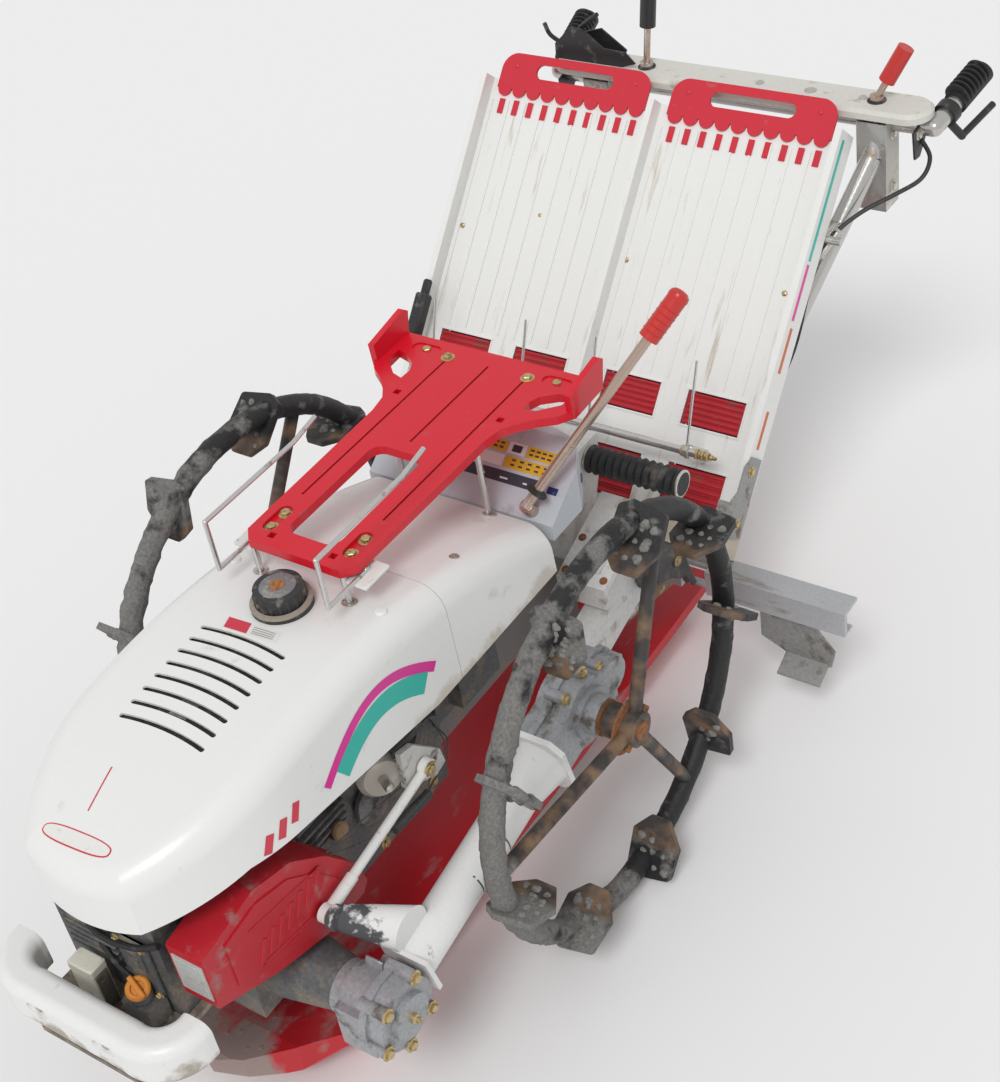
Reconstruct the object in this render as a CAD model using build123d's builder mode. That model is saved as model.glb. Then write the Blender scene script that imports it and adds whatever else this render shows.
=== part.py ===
# Walk-behind two-row rice transplanter, millimetres, +Z up, front towards -Y, machine's left is +X
import math
import os

from build123d import *

os.makedirs("parts", exist_ok=True)

# Overall places
axle_y = -160.7
axle_z = 305
claw_x = 161
pivot_y = axle_y - 425
pivot_z = 216

# Wheels
ring_x = 279
ring_r = 270
ring_tube_r = 14
ring_sides = 10
lug_count = 9
lug_first = 17
lug_slant = 32
lug_thick = 9
lug_outline = ((-20, 16), (-2, 26), (44, 18), (49, -28), (28, -62), (0, -62), (-20, -40))
lug_round = 6
spoke_first = 30
hub_r = 23
hub_in_x = 268
hub_out_x = 312
axle_r = 13
axle_in_x = 196
spoke_r = 9
running = 0.05

# Hood
hood_front_y = axle_y - 612
hood_rear_y = axle_y + 100
hood_seam_y = axle_y - 112
hood_half = 148
hood_low_z = 424
hood_top_z = 578
hood_wall = 3
hood_round_r = 34
seam_gap = 1.0

# Seedling table
table_x = -94
table_y = axle_y + ring_r + 138
table_z = 220
table_slope = 48
table_len = 614
table_half = 302
table_wall = 25
table_thick = 22
lane_pitch = 300
window_rows = ((40, 112), (169, 219))
rib_count = 10
rib_low_s = 228
rib_high_s = table_len - 32
belt_grooves = 6

# Rail
rail_half = 396
rail_top_z = 205

# Handles
table_run = table_len * math.cos(math.radians(table_slope))
table_rise = table_len * math.sin(math.radians(table_slope))
panel_y = table_y + table_run + 63
panel_z = table_z + table_rise - 0.3
panel_half = 304
grip_x = 325

# Float
float_top_z = 72
float_half = 124
float_rear_half = 112
float_rear_y = axle_y + 520
float_edge_z = 54
float_undercut = 42


def float_outline(inset):
    nose = [(float_half - inset, axle_y - 396), (86 - inset * 0.8, axle_y - 468), (40 - inset * 0.5, axle_y - 514),
            (0, axle_y - 532)]
    rear = [(float_rear_half - inset, float_rear_y - inset), (float_half - inset, axle_y + 60)]
    half = rear + nose
    return [(-x, y) for x, y in half[:-1]] + half[::-1]



# Round rod between two points, used for every straight round piece
def rod(p, q, r):
    start = Vector(*p)
    path = Vector(*q) - start
    return Plane(origin=start, z_dir=path), path.length


# Wheel with ring, lugs, three spokes, hub and axle, made for one side and mirrored
def wheel(side):
    with BuildPart() as made:
        with BuildSketch(Plane(origin=(side * ring_x, axle_y, axle_z), x_dir=(0, 0, 1), z_dir=(0, 1, 0))):
            with Locations((ring_r, 0)):
                RegularPolygon(ring_tube_r * 1.02, ring_sides, rotation=180 / ring_sides)
        revolve(axis=Axis((side * ring_x, axle_y, axle_z), (1, 0, 0)))
        for k in range(lug_count):
            turn = math.radians(lug_first + 360 / lug_count * k)
            lean = turn + math.radians(lug_slant)
            blade = Plane(origin=(side * ring_x, axle_y + ring_r * math.sin(turn), axle_z + ring_r * math.cos(turn)),
                          x_dir=(side, 0, 0), z_dir=(0, -side * math.cos(lean), side * math.sin(lean)))
            with BuildSketch(blade) as lug:
                with BuildLine():
                    Polyline(*lug_outline, close=True)
                make_face()
                fillet(lug.vertices(), lug_round)
            extrude(amount=lug_thick / 2, both=True)
        for k in range(3):
            turn = math.radians(spoke_first + 120 * k)
            tip = (side * (ring_x + 2), axle_y + math.sin(turn) * (ring_r - 4),
                   axle_z + math.cos(turn) * (ring_r - 4))
            plane, length = rod((side * 300, axle_y, axle_z), tip, spoke_r)
            with BuildSketch(plane):
                Circle(spoke_r)
            extrude(amount=length)
        with BuildSketch(Plane.YZ.offset(side * hub_in_x)):
            with Locations((axle_y, axle_z)):
                Circle(hub_r)
        extrude(amount=side * (hub_out_x - hub_in_x))
        with BuildSketch(Plane.YZ.offset(side * axle_in_x)):
            with Locations((axle_y, axle_z)):
                Circle(axle_r)
        extrude(amount=side * (hub_out_x - 4 - axle_in_x))
    return made


for label, side in (("wheel_left", 1), ("wheel_right", -1)):
    made = wheel(side)
    made.part.label = label
    export_step(made.part, "parts/" + label + ".step")


# Final gear case at the wheel's axle, with a boss bored for the axle
leg_slope = math.degrees(math.atan2(axle_z - pivot_z, axle_y - pivot_y))
leg_cos = math.cos(math.radians(leg_slope))
leg_sin = math.sin(math.radians(leg_slope))
case_in_x = 188
case_out_x = 238
boss_out_x = 262
case_r = 50
case_rows = ((case_in_x, case_out_x, 0), (case_in_x + 18, case_in_x + 26, 6))
case_bolts = (35, 80, 125, 235, 280, 325)


def wheel_case(side):
    with BuildPart() as made:
        for x0, x1, grow in case_rows:
            with BuildSketch(Plane.YZ.offset(side * x0)):
                with Locations((axle_y, axle_z)):
                    Circle(case_r + grow)
                with Locations((axle_y - leg_cos * 49, axle_z - leg_sin * 49)):
                    Rectangle(60, 76 + 2 * grow, rotation=leg_slope)
                with Locations((axle_y + 64, axle_z + 6)):
                    Circle(24 + grow)
                with Locations((axle_y + 32, axle_z + 2)):
                    Rectangle(64, 62 + 2 * grow)
            extrude(amount=side * (x1 - x0))
        with BuildSketch(Plane.YZ.offset(side * (case_in_x + 14))):
            for turn in case_bolts:
                with Locations((axle_y + (case_r + 5) * math.cos(math.radians(turn)),
                                axle_z + (case_r + 5) * math.sin(math.radians(turn)))):
                    Circle(8)
            with Locations((axle_y + 90, axle_z + 6)):
                Circle(8)
        extrude(amount=side * 26)
        with BuildSketch(Plane.YZ.offset(side * case_out_x)):
            with Locations((axle_y, axle_z)):
                Circle(35)
        extrude(amount=side * 7)
        with BuildSketch(Plane.YZ.offset(side * case_out_x)):
            with Locations((axle_y, axle_z)):
                Circle(27)
        extrude(amount=side * (boss_out_x - case_out_x))
        with BuildSketch(Plane.YZ.offset(side * (axle_in_x - 2))):
            with Locations((axle_y, axle_z)):
                Circle(axle_r + running)
        extrude(amount=side * 80, mode=Mode.SUBTRACT)
    return made.part


with BuildPart() as wheel_cases:
    add(wheel_case(1))
    add(wheel_case(-1))
wheel_cases.part.label = "wheel_cases"
export_step(wheel_cases.part, "parts/wheel_cases.step")


gear_in_x = 160
gear_r = 49
gear_rows = ((gear_in_x, 177, 33), (176, 216, 40), (214, 224, gear_r), (224, 246, 45), (246, 254, 29))
gear_bolts = (60, 130, 200, 260, 320)

# Swing leg: tube with a flared flange at the wheel case and a lug arm at the front
leg_x = 216
leg_tube_r = 27
leg_flange_d = math.hypot(axle_y - pivot_y, axle_z - pivot_z) - 79
leg_start_d = 49.4
link_x = 140
link_low = (axle_y - 406, 312)
arm_y = axle_y - 382
arm_z = 292
link_top = (axle_y - 200, 352)
pin_r = 5


def along(d):
    return Plane(origin=(leg_x, pivot_y + leg_cos * d, pivot_z + leg_sin * d), x_dir=(1, 0, 0), z_dir=(
        0, leg_cos, leg_sin))


with BuildPart() as leg:
    with BuildSketch(along(leg_start_d)):
        Rectangle(66, 60)
    extrude(amount=6)
    with BuildSketch(along(leg_start_d)):
        Circle(leg_tube_r)
    extrude(amount=leg_flange_d - 60 - leg_start_d)
    with BuildSketch(along(leg_flange_d - 60)):
        Circle(leg_tube_r)
    with BuildSketch(along(leg_flange_d - 8)):
        Circle(38)
    loft()
    with BuildSketch(along(leg_flange_d - 8)):
        with BuildLine():
            Polyline((24, -46), (40, -30), (40, 30), (24, 46), (-24, 46), (-40, 30), (-40, -30), (-24, -46),
                     close=True)
        make_face()
    extrude(amount=8)
    with BuildSketch(Plane.YZ.offset(link_x + 16)):
        with Locations((arm_y - 12, arm_z + 8)):
            Circle(17)
    with BuildSketch(Plane.YZ.offset(leg_x - 4)):
        with Locations((arm_y + 27, arm_z - 24)):
            Circle(29)
    loft()
    with BuildSketch(Plane.YZ.offset(link_x + 8)):
        with Locations((arm_y - 14, arm_z + 10)):
            Circle(14)
    extrude(amount=8)
    with BuildSketch(Plane.YZ.offset(link_x + 8)):
        with Locations(link_low):
            Circle(15)
    extrude(amount=8)
    with BuildSketch(Plane.YZ.offset(link_x - 9)):
        with Locations(link_low):
            Circle(pin_r)
    extrude(amount=19)
with BuildPart() as swing_legs:
    add(leg.part)
    add(leg.part.mirror(Plane.YZ))
swing_legs.part.label = "swing_legs"
export_step(swing_legs.part, "parts/swing_legs.step")

# Front gear case that the leg swings on


def gear_case(side):
    with BuildPart() as made:
        for x0, x1, r in gear_rows:
            with BuildSketch(Plane.YZ.offset(side * x0)):
                with Locations((pivot_y, pivot_z)):
                    Circle(r)
            extrude(amount=side * (x1 - x0))
        with BuildSketch(Plane.YZ.offset(side * 178)):
            with Locations((pivot_y - 10, pivot_z - 10)):
                Rectangle(66, 66)
        extrude(amount=side * 48)
        with BuildSketch(Plane.YZ.offset(side * 210)):
            for turn in gear_bolts:
                with Locations((pivot_y + (gear_r - 2) * math.cos(math.radians(turn)),
                                pivot_z + (gear_r - 2) * math.sin(math.radians(turn)))):
                    Circle(8)
        extrude(amount=side * 38)
    return made.part


with BuildPart() as gear_cases:
    add(gear_case(1))
    add(gear_case(-1))
gear_cases.part.label = "gear_cases"
export_step(gear_cases.part, "parts/gear_cases.step")


# Transmission case with the conical axle housings out to the front gear cases
gearbox_half = 72
gearbox_front_y = axle_y - 484
gearbox_low_z = 168
gearbox_top_z = 338
gearbox_rear_top_z = 400
gearbox_rear_half = 48
gearbox_waist = 46
beam_z = 236
side_discs = ((axle_y - 292, 296, 34, 58), (axle_y - 292, 296, 13, 68), (axle_y - 214, 262, 32, 56),
              (axle_y - 120, 300, 26, 74))
with BuildPart() as transmission:
    with BuildSketch(Plane.XY.offset(gearbox_low_z)):
        with BuildLine():
            Polyline((-gearbox_half, gearbox_front_y), (gearbox_half, gearbox_front_y), (gearbox_half, axle_y - 376),
                     (gearbox_waist, axle_y - 340), (gearbox_waist, axle_y - 70), (-gearbox_waist, axle_y - 70),
                     (-gearbox_waist, axle_y - 340), (-gearbox_half, axle_y - 376), close=True)
        make_face()
    extrude(amount=gearbox_top_z - gearbox_low_z)
    with BuildSketch(Plane.XY.offset(gearbox_top_z)):
        with Locations((0, axle_y - 160)):
            Rectangle(2 * gearbox_rear_half, 160)
    extrude(amount=gearbox_rear_top_z - gearbox_top_z)
    for side in (1, -1):
        with BuildSketch(Plane.YZ.offset(side * gearbox_half)):
            with Locations((pivot_y, pivot_z)):
                Circle(48)
        with BuildSketch(Plane.YZ.offset(side * gear_in_x)):
            with Locations((pivot_y, pivot_z)):
                Circle(32)
        loft()
    with BuildSketch(Plane.XY.offset(float_top_z)):
        with Locations((0, axle_y - 380)):
            Rectangle(50, 40)
    extrude(amount=gearbox_low_z - float_top_z)
    for y, z, r, x1 in side_discs:
        with BuildSketch(Plane.YZ.offset(gearbox_waist)):
            with Locations((y, z)):
                Circle(r)
        extrude(amount=x1 - gearbox_waist)
    with BuildSketch(Plane.XY.offset(beam_z + 30)):
        with Locations((0, axle_y - 10)):
            Rectangle(104, 130)
    extrude(amount=126)
    with BuildSketch(Plane.XY.offset(beam_z + 44)):
        with Locations((0, axle_y - 4)):
            Rectangle(150, 84)
    extrude(amount=60)
transmission.part.label = "transmission"
export_step(transmission.part, "parts/transmission.step")

# Main beam from the transmission back to the planting cases and the rail
console_half = 143
console_y = hood_rear_y + 6
console_post_z = 476
with BuildPart() as main_beam:
    with BuildSketch(Plane.XZ.offset(-(axle_y - 70))):
        with Locations((0, beam_z)):
            Rectangle(64, 60)
    extrude(amount=-(table_y - 60 - (axle_y - 70)))
    with BuildSketch(Plane.XY.offset(beam_z - 22)):
        with Locations((0, table_y - 84)):
            Rectangle(96 * 2, 48)
    extrude(amount=44)
    with BuildSketch(Plane.XY.offset(beam_z)):
        with Locations((0, console_y + 34)):
            Rectangle(60, 56)
    extrude(amount=console_post_z - beam_z)
    with BuildSketch(Plane.XY.offset(float_top_z)):
        with Locations((0, axle_y + 280)):
            Rectangle(40, 30)
    extrude(amount=beam_z - float_top_z)
main_beam.part.label = "main_beam"
export_step(main_beam.part, "parts/main_beam.step")

# Planting cases, each with a cover box on top and a bore for its crank shaft
crank_y = axle_y + 300
crank_z = 250
case_x = 96
case_w = 34
crank_r = 34
feed_y = axle_y + 345
feed_z = 395
cover_rise = 48 / 122


def cover_under(dy):
    return (crank_y + dy, 292 + (dy + 88) * cover_rise)


with BuildPart() as planting_cases:
    for side in (1, -1):
        with BuildSketch(Plane.YZ.offset(side * case_x)):
            with BuildLine():
                Polyline((crank_y - 150, 168), (crank_y - 20, 206), (crank_y + 30, 216), (crank_y + 38, 262),
                         cover_under(22), cover_under(-84), (crank_y - 85, 258), (crank_y - 150, 240), (crank_y - 150, 168))
            make_face()
        extrude(amount=side * case_w)
        with BuildSketch(Plane.YZ.offset(side * (case_x + case_w + 1))):
            with Locations((crank_y, crank_z)):
                Circle(12 + running)
        extrude(amount=-side * 31, mode=Mode.SUBTRACT)
    with BuildSketch(Plane.YZ.offset(-38)):
        with BuildLine():
            Polyline((crank_y - 30, beam_z + 30), (crank_y + 30, beam_z + 30), (feed_y + 26, feed_z - 20),
                     (feed_y + 26, feed_z + 26), (feed_y - 26, feed_z + 26), (feed_y - 30, feed_z - 26),
                     (crank_y - 30, beam_z + 30))
        make_face()
    extrude(amount=76)
planting_cases.part.label = "planting_cases"
export_step(planting_cases.part, "parts/planting_cases.step")

with BuildPart() as case_covers:
    for side in (1, -1):
        with BuildSketch(Plane.YZ.offset(side * 60)):
            with BuildLine():
                Polyline((crank_y - 96, 300), (crank_y + 34, 352), (crank_y + 34, 340), (crank_y - 88, 292),
                         (crank_y - 88, 268), (crank_y - 96, 265), (crank_y - 96, 300))
            make_face()
        extrude(amount=side * 76)
case_covers.part.label = "case_covers"
export_step(case_covers.part, "parts/case_covers.step")

# Planting cranks, one each side, and the planting arms they carry
crank_turn = 60
pin_dy = crank_r * math.sin(math.radians(crank_turn))
pin_dz = crank_r * math.cos(math.radians(crank_turn))
crank_in_x = case_x + case_w + 5


def planting_crank(side, sign):
    with BuildPart() as made:
        with BuildSketch(Plane.YZ.offset(side * (case_x + case_w - 26))):
            with Locations((crank_y, crank_z)):
                Circle(12)
        extrude(amount=side * 33)
        with BuildSketch(Plane.YZ.offset(side * crank_in_x)):
            with Locations((crank_y, crank_z)):
                Circle(17)
            with Locations((crank_y + sign * pin_dy, crank_z + sign * pin_dz)):
                Circle(14)
            with Locations((crank_y + sign * pin_dy / 2, crank_z + sign * pin_dz / 2)):
                Rectangle(crank_r, 22, rotation=90 - crank_turn)
        extrude(amount=side * 10)
        with BuildSketch(Plane.YZ.offset(side * (crank_in_x + 9))):
            with Locations((crank_y + sign * pin_dy, crank_z + sign * pin_dz)):
                Circle(8)
        extrude(amount=side * 30)
    return made


arm_in_x = crank_in_x + 15
arm_w = 22


def planting_arm(side, sign):
    py = crank_y + sign * pin_dy
    pz = crank_z + sign * pin_dz
    with BuildPart() as made:
        with BuildSketch(Plane.YZ.offset(side * arm_in_x)):
            with BuildLine():
                Polyline((py - 44, pz + 22), (py - 8, pz + 20), (py + 26, pz - 8), (py + 34, pz - 40),
                         (py + 16, pz - 44), (py - 14, pz - 20), (py - 48, pz - 4), (py - 44, pz + 22))
            make_face()
            with Locations((py, pz)):
                Circle(21)
        extrude(amount=side * arm_w)
        for dx in (4, 14):
            with BuildSketch(Plane.YZ.offset(side * (arm_in_x + dx))):
                with BuildLine():
                    Polyline((py + 22, pz - 34), (py + 36, pz - 30), (py + 56, pz - 84), (py + 47, pz - 84),
                             (py + 22, pz - 34))
                make_face()
            extrude(amount=side * 4)
        with BuildSketch(Plane.YZ.offset(side * (arm_in_x - 1))):
            with Locations((py, pz)):
                Circle(8 + running)
        extrude(amount=side * 40, mode=Mode.SUBTRACT)
    return made


for label, side, sign in (("left", 1, 1), ("right", -1, -1)):
    made = planting_crank(side, sign)
    made.part.label = "planting_crank_" + label
    export_step(made.part, "parts/planting_crank_" + label + ".step")
    made = planting_arm(side, sign)
    made.part.label = "planting_arm_" + label
    export_step(made.part, "parts/planting_arm_" + label + ".step")


# Hood halves: side profile cut to the plan, rounded, then hollowed by the same shape at a wall less
def hood_body(inset):
    half = hood_half - inset
    front = hood_front_y + inset
    rear = hood_rear_y + inset * 2
    with BuildPart() as made:
        with BuildSketch(Plane.XY.offset(hood_low_z - 60)):
            with BuildLine():
                p1 = Line((half, rear), (-half, rear))
                p2 = Line(p1 @ 1, (-half, hood_front_y + 200))
                p3 = TangentArc(p2 @ 1, (-half + 70, front + 16), tangent=(0, -1))
                p4 = ThreePointArc(p3 @ 1, (0, front), (half - 70, front + 16))
                p5 = TangentArc((half, hood_front_y + 200), p4 @ 1, tangent=(0, -1))
                Line(p5 @ 0, p1 @ 0)
            make_face()
        extrude(amount=260, taper=2)
        with BuildSketch(Plane.YZ.offset(-200)):
            with BuildLine():
                s1 = Line((rear + 1, hood_low_z - inset * 4), (axle_y - 160, hood_low_z - inset * 4))
                s2 = Line(s1 @ 1, (axle_y - 480, hood_low_z + 44 - inset * 4))
                s3 = Line(s2 @ 1, (hood_front_y - 6, hood_low_z + 24 - inset * 4))
                s4 = Line(s3 @ 1, (hood_front_y - 6, 516 - inset))
                s5 = ThreePointArc(s4 @ 1, (axle_y - 460, 562 - inset), (axle_y - 280, hood_top_z - inset))
                s6 = ThreePointArc(s5 @ 1, (axle_y - 70, 552 - inset), (rear + 1, 492 - inset - inset * 0.9))
                Line(s6 @ 1, s1 @ 0)
            make_face()
        extrude(amount=400, mode=Mode.INTERSECT)
        crown = made.faces().filter_by(lambda f: f.normal_at().Z > 0.3)
        crown_edges = [e for f in crown for e in f.edges()]
        rim = [e for e in made.edges() if sum(1 for g in crown_edges if e.is_same(g)) == 1
               and e.center().Y < rear - 12]
        fillet(rim, hood_round_r - inset)
    return made.part


hood_shell = hood_body(0) - hood_body(hood_wall)
vent_first_y = axle_y - 432
vent_step = 20
vent_bow_r = 320
vent_half_turn = 10.5
vent_wide = 6
with BuildPart() as hood_front:
    add(hood_shell)
    with BuildSketch(Plane.XY.offset(300)):
        with Locations((0, hood_seam_y - seam_gap / 2 + 200)):
            Rectangle(400, 400)
    extrude(amount=400, mode=Mode.SUBTRACT)
    for k in range(8):
        with BuildSketch(Plane.XY.offset(500)):
            with BuildLine() as bow:
                CenterArc((0, vent_first_y + vent_step * k + 4 - vent_bow_r), vent_bow_r, 90 - vent_half_turn,
                          2 * vent_half_turn)
            SlotArc(bow.edges()[0], vent_wide)
        extrude(amount=200, mode=Mode.SUBTRACT)
    with BuildSketch(Plane.XY.offset(500)):
        with Locations((0, axle_y - 222)):
            Circle(36.3)
    extrude(amount=200, mode=Mode.SUBTRACT)
    with BuildSketch(Plane.XY.offset(500)):
        with Locations((66, axle_y - 183), (-66, axle_y - 183)):
            Circle(4.3)
    extrude(amount=200, mode=Mode.SUBTRACT)
hood_front.part.label = "hood_front"
export_step(hood_front.part, "parts/hood_front.step")

with BuildPart() as hood_rear:
    add(hood_shell)
    with BuildSketch(Plane.XY.offset(300)):
        with Locations((0, hood_seam_y + seam_gap / 2 - 400)):
            Rectangle(400, 800)
    extrude(amount=400, mode=Mode.SUBTRACT)
    with BuildSketch(Plane.XY.offset(440)):
        with Locations((64, axle_y + 84), (-64, axle_y + 84)):
            Circle(4.3)
    extrude(amount=200, mode=Mode.SUBTRACT)
hood_rear.part.label = "hood_rear"
export_step(hood_rear.part, "parts/hood_rear.step")

# Fuel cap on its collar
cap_y = axle_y - 222
with BuildPart() as fuel_cap:
    with BuildSketch(Plane.XY.offset(hood_top_z - 20)):
        with Locations((0, cap_y)):
            Circle(36)
    extrude(amount=24)
    with BuildSketch(Plane.XY.offset(hood_top_z + 4)):
        with Locations((0, cap_y)):
            Circle(29)
    extrude(amount=22)
fuel_cap.part.label = "fuel_cap"
export_step(fuel_cap.part, "parts/fuel_cap.step")

# Engine, one plain block at its real place, with the stays that carry the hood
base_z = 262
base_t = 8
engine_low_z = base_z + base_t
engine_front_y = axle_y - 572
engine_side_x = 58
with BuildPart() as engine:
    with BuildSketch(Plane.XY.offset(engine_low_z)):
        with Locations((engine_side_x - 82, (engine_front_y + gearbox_front_y) / 2)):
            Rectangle(164, gearbox_front_y - engine_front_y)
    extrude(amount=172)
    with BuildSketch(Plane.XY.offset(gearbox_top_z)):
        with Locations((engine_side_x - 82, gearbox_front_y + 50)):
            Rectangle(164, 100)
    extrude(amount=engine_low_z + 172 - gearbox_top_z)
    with BuildSketch(Plane.XY.offset(engine_low_z + 172)):
        with Locations((0, gearbox_front_y + 88)):
            Rectangle(24, 24)
    extrude(amount=567.2 - (engine_low_z + 172))
engine.part.label = "engine"
export_step(engine.part, "parts/engine.step")

# Red side cover with the front lamp, an open-backed shell
cover_front_y = axle_y - 572
cover_in_x = 76
cover_out_x = 128
cover_wall = 3
lamp_spot = (102, 371)
lamp_size = (44, 56)
with BuildPart() as side_cover:
    with BuildSketch(Plane.YZ.offset(cover_in_x)):
        with BuildLine():
            Polyline((cover_front_y, 412), (axle_y - 484, 430), (axle_y - 424, 413), (axle_y - 375, 372),
                     (axle_y - 336, 318), (axle_y - 325, 276), (axle_y - 336, 264), (axle_y - 403, 266),
                     (axle_y - 480, 290), (cover_front_y, 332), (cover_front_y, 412))
        cover_face = make_face()
    extrude(amount=cover_out_x - cover_in_x)
    with BuildSketch(Plane.YZ.offset(cover_in_x)):
        add(offset(cover_face.face(), amount=-cover_wall, kind=Kind.INTERSECTION))
    extrude(amount=cover_out_x - cover_in_x - cover_wall, mode=Mode.SUBTRACT)
    with BuildSketch(Plane.YZ.offset(cover_out_x)):
        with BuildLine():
            Polyline((axle_y - 540, 336), (axle_y - 474, 306), (axle_y - 400, 278), (axle_y - 352, 276),
                     (axle_y - 360, 316), (axle_y - 396, 366), (axle_y - 436, 398), (axle_y - 486, 412),
                     (axle_y - 540, 402), close=True)
        make_face()
    extrude(amount=2)
    with BuildSketch(Plane.XZ.offset(-(cover_front_y - 1))):
        with Locations(lamp_spot):
            Rectangle(lamp_size[0] + 0.6, lamp_size[1] + 0.6)
    extrude(amount=-6, mode=Mode.SUBTRACT)
    with BuildSketch(Plane.XY.offset(396)):
        with Locations(((engine_side_x + cover_out_x - 1) / 2, axle_y - 505)):
            Rectangle(cover_out_x - 1 - engine_side_x, 20)
    extrude(amount=8)
side_cover.part.label = "side_cover"
export_step(side_cover.part, "parts/side_cover.step")

with BuildPart() as lamp_lens:
    with BuildSketch(Plane.XZ.offset(-(cover_front_y - 1))):
        with Locations(lamp_spot):
            Rectangle(lamp_size[0], lamp_size[1])
    extrude(amount=-6)
lamp_lens.part.label = "lamp_lens"
export_step(lamp_lens.part, "parts/lamp_lens.step")

# Base plate under the engine with the fittings that stand on it
bumper_y = axle_y - 651
bumper_deep = 42
bumper_tall = 58
bumper_low_z = 297
bumper_z = bumper_low_z + bumper_tall / 2
bumper_end = (126, axle_y - 603)
with BuildPart() as base_plate:
    with BuildSketch(Plane.XY.offset(base_z)):
        with BuildLine():
            Polyline((-110, gearbox_front_y), (68, gearbox_front_y), (68, axle_y - 600), (84, axle_y - 620),
                     (84, bumper_y - 8), (-84, bumper_y - 8), (-110, axle_y - 620), (-110, gearbox_front_y))
        make_face()
    extrude(amount=base_t)
    for side in (1, -1):
        with BuildSketch(Plane.XY.offset(base_z + base_t)):
            with Locations((side * 56, bumper_y)):
                Rectangle(24, 14)
        extrude(amount=bumper_low_z - base_z - base_t)
base_plate.part.label = "base_plate"
export_step(base_plate.part, "parts/base_plate.step")

with BuildPart() as front_box:
    with BuildSketch(Plane.XY.offset(engine_low_z)):
        with Locations((-46, axle_y - 598)):
            Rectangle(36, 22)
    extrude(amount=70)
front_box.part.label = "front_box"
export_step(front_box.part, "parts/front_box.step")

with BuildPart() as fuel_tap:
    with BuildSketch(Plane.XY.offset(engine_low_z)):
        with Locations((22, axle_y - 590)):
            Rectangle(40, 30)
    extrude(amount=36)
    with BuildSketch(Plane.XY.offset(engine_low_z + 36)):
        with Locations((22, axle_y - 590)):
            Circle(13)
    extrude(amount=16)
fuel_tap.part.label = "fuel_tap"
export_step(fuel_tap.part, "parts/fuel_tap.step")

# Bumper, a thick bar bent round the front corners
with BuildPart() as bumper:
    with BuildLine() as bumper_path:
        b1 = Line((-bumper_end[0], bumper_end[1], bumper_z), (-bumper_end[0], bumper_end[1] - 8, bumper_z))
        b2 = ThreePointArc(b1 @ 1, (-112, bumper_y + 12, bumper_z), (-72, bumper_y, bumper_z))
        b3 = Line(b2 @ 1, (72, bumper_y, bumper_z))
        b4 = ThreePointArc(b3 @ 1, (112, bumper_y + 12, bumper_z), (bumper_end[0], bumper_end[1] - 8, bumper_z))
        Line(b4 @ 1, (bumper_end[0], bumper_end[1], bumper_z))
    with BuildSketch(Plane(origin=(-bumper_end[0], bumper_end[1], bumper_z), x_dir=(1, 0, 0), z_dir=(0, -1, 0))):
        RectangleRounded(bumper_deep, bumper_tall, 14)
    sweep(path=bumper_path.line, transition=Transition.ROUND)
    with BuildSketch(Plane.XZ.offset(-(bumper_y - bumper_deep / 2 - 1))):
        with Locations((-50, bumper_z + 10), (50, bumper_z + 10)):
            SlotOverall(32, 15)
    extrude(amount=-5, mode=Mode.SUBTRACT)
bumper.part.label = "bumper"
export_step(bumper.part, "parts/bumper.step")

# Lift bracket and the two lift links
pin_fit = 0.3
with BuildPart() as lift_bracket:
    for side in (1, -1):
        with BuildSketch(Plane.YZ.offset(side * gearbox_rear_half)):
            with Locations(link_top):
                Circle(13.5)
        extrude(amount=side * (link_x - 15 - gearbox_rear_half))
        with BuildSketch(Plane.YZ.offset(side * (link_x - 15))):
            with BuildLine():
                Polyline((axle_y - 230, 398), (axle_y - 206, 392), (axle_y - 164, 346), (axle_y - 159, 320),
                         (axle_y - 178, 314), (axle_y - 232, 342), close=True)
            make_face()
        extrude(amount=side * 8)
        with BuildSketch(Plane.YZ.offset(side * (link_x - 7))):
            with Locations(link_top):
                Circle(pin_r)
        extrude(amount=side * 17)
lift_bracket.part.label = "lift_bracket"
export_step(lift_bracket.part, "parts/lift_bracket.step")

with BuildPart() as lift_links:
    for side in (1, -1):
        for spot in (link_low, link_top):
            with BuildSketch(Plane.YZ.offset(side * (link_x - 5))):
                with Locations(spot):
                    Circle(12)
            extrude(amount=side * 10)
        slope = math.atan2(link_top[1] - link_low[1], link_top[0] - link_low[0])
        dy = 8 * math.cos(slope)
        dz = 8 * math.sin(slope)
        plane, length = rod((side * link_x, link_low[0] + dy, link_low[1] + dz),
                            (side * link_x, link_top[0] - dy, link_top[1] - dz), 5)
        with BuildSketch(plane):
            Circle(6)
        extrude(amount=length)
        with BuildSketch(plane):
            Circle(7.6)
        extrude(amount=44)
        for spot in (link_low, link_top):
            with BuildSketch(Plane.YZ.offset(side * (link_x - 6))):
                with Locations(spot):
                    Circle(pin_r + pin_fit)
            extrude(amount=side * 12, mode=Mode.SUBTRACT)
lift_links.part.label = "lift_links"
export_step(lift_links.part, "parts/lift_links.step")

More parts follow.
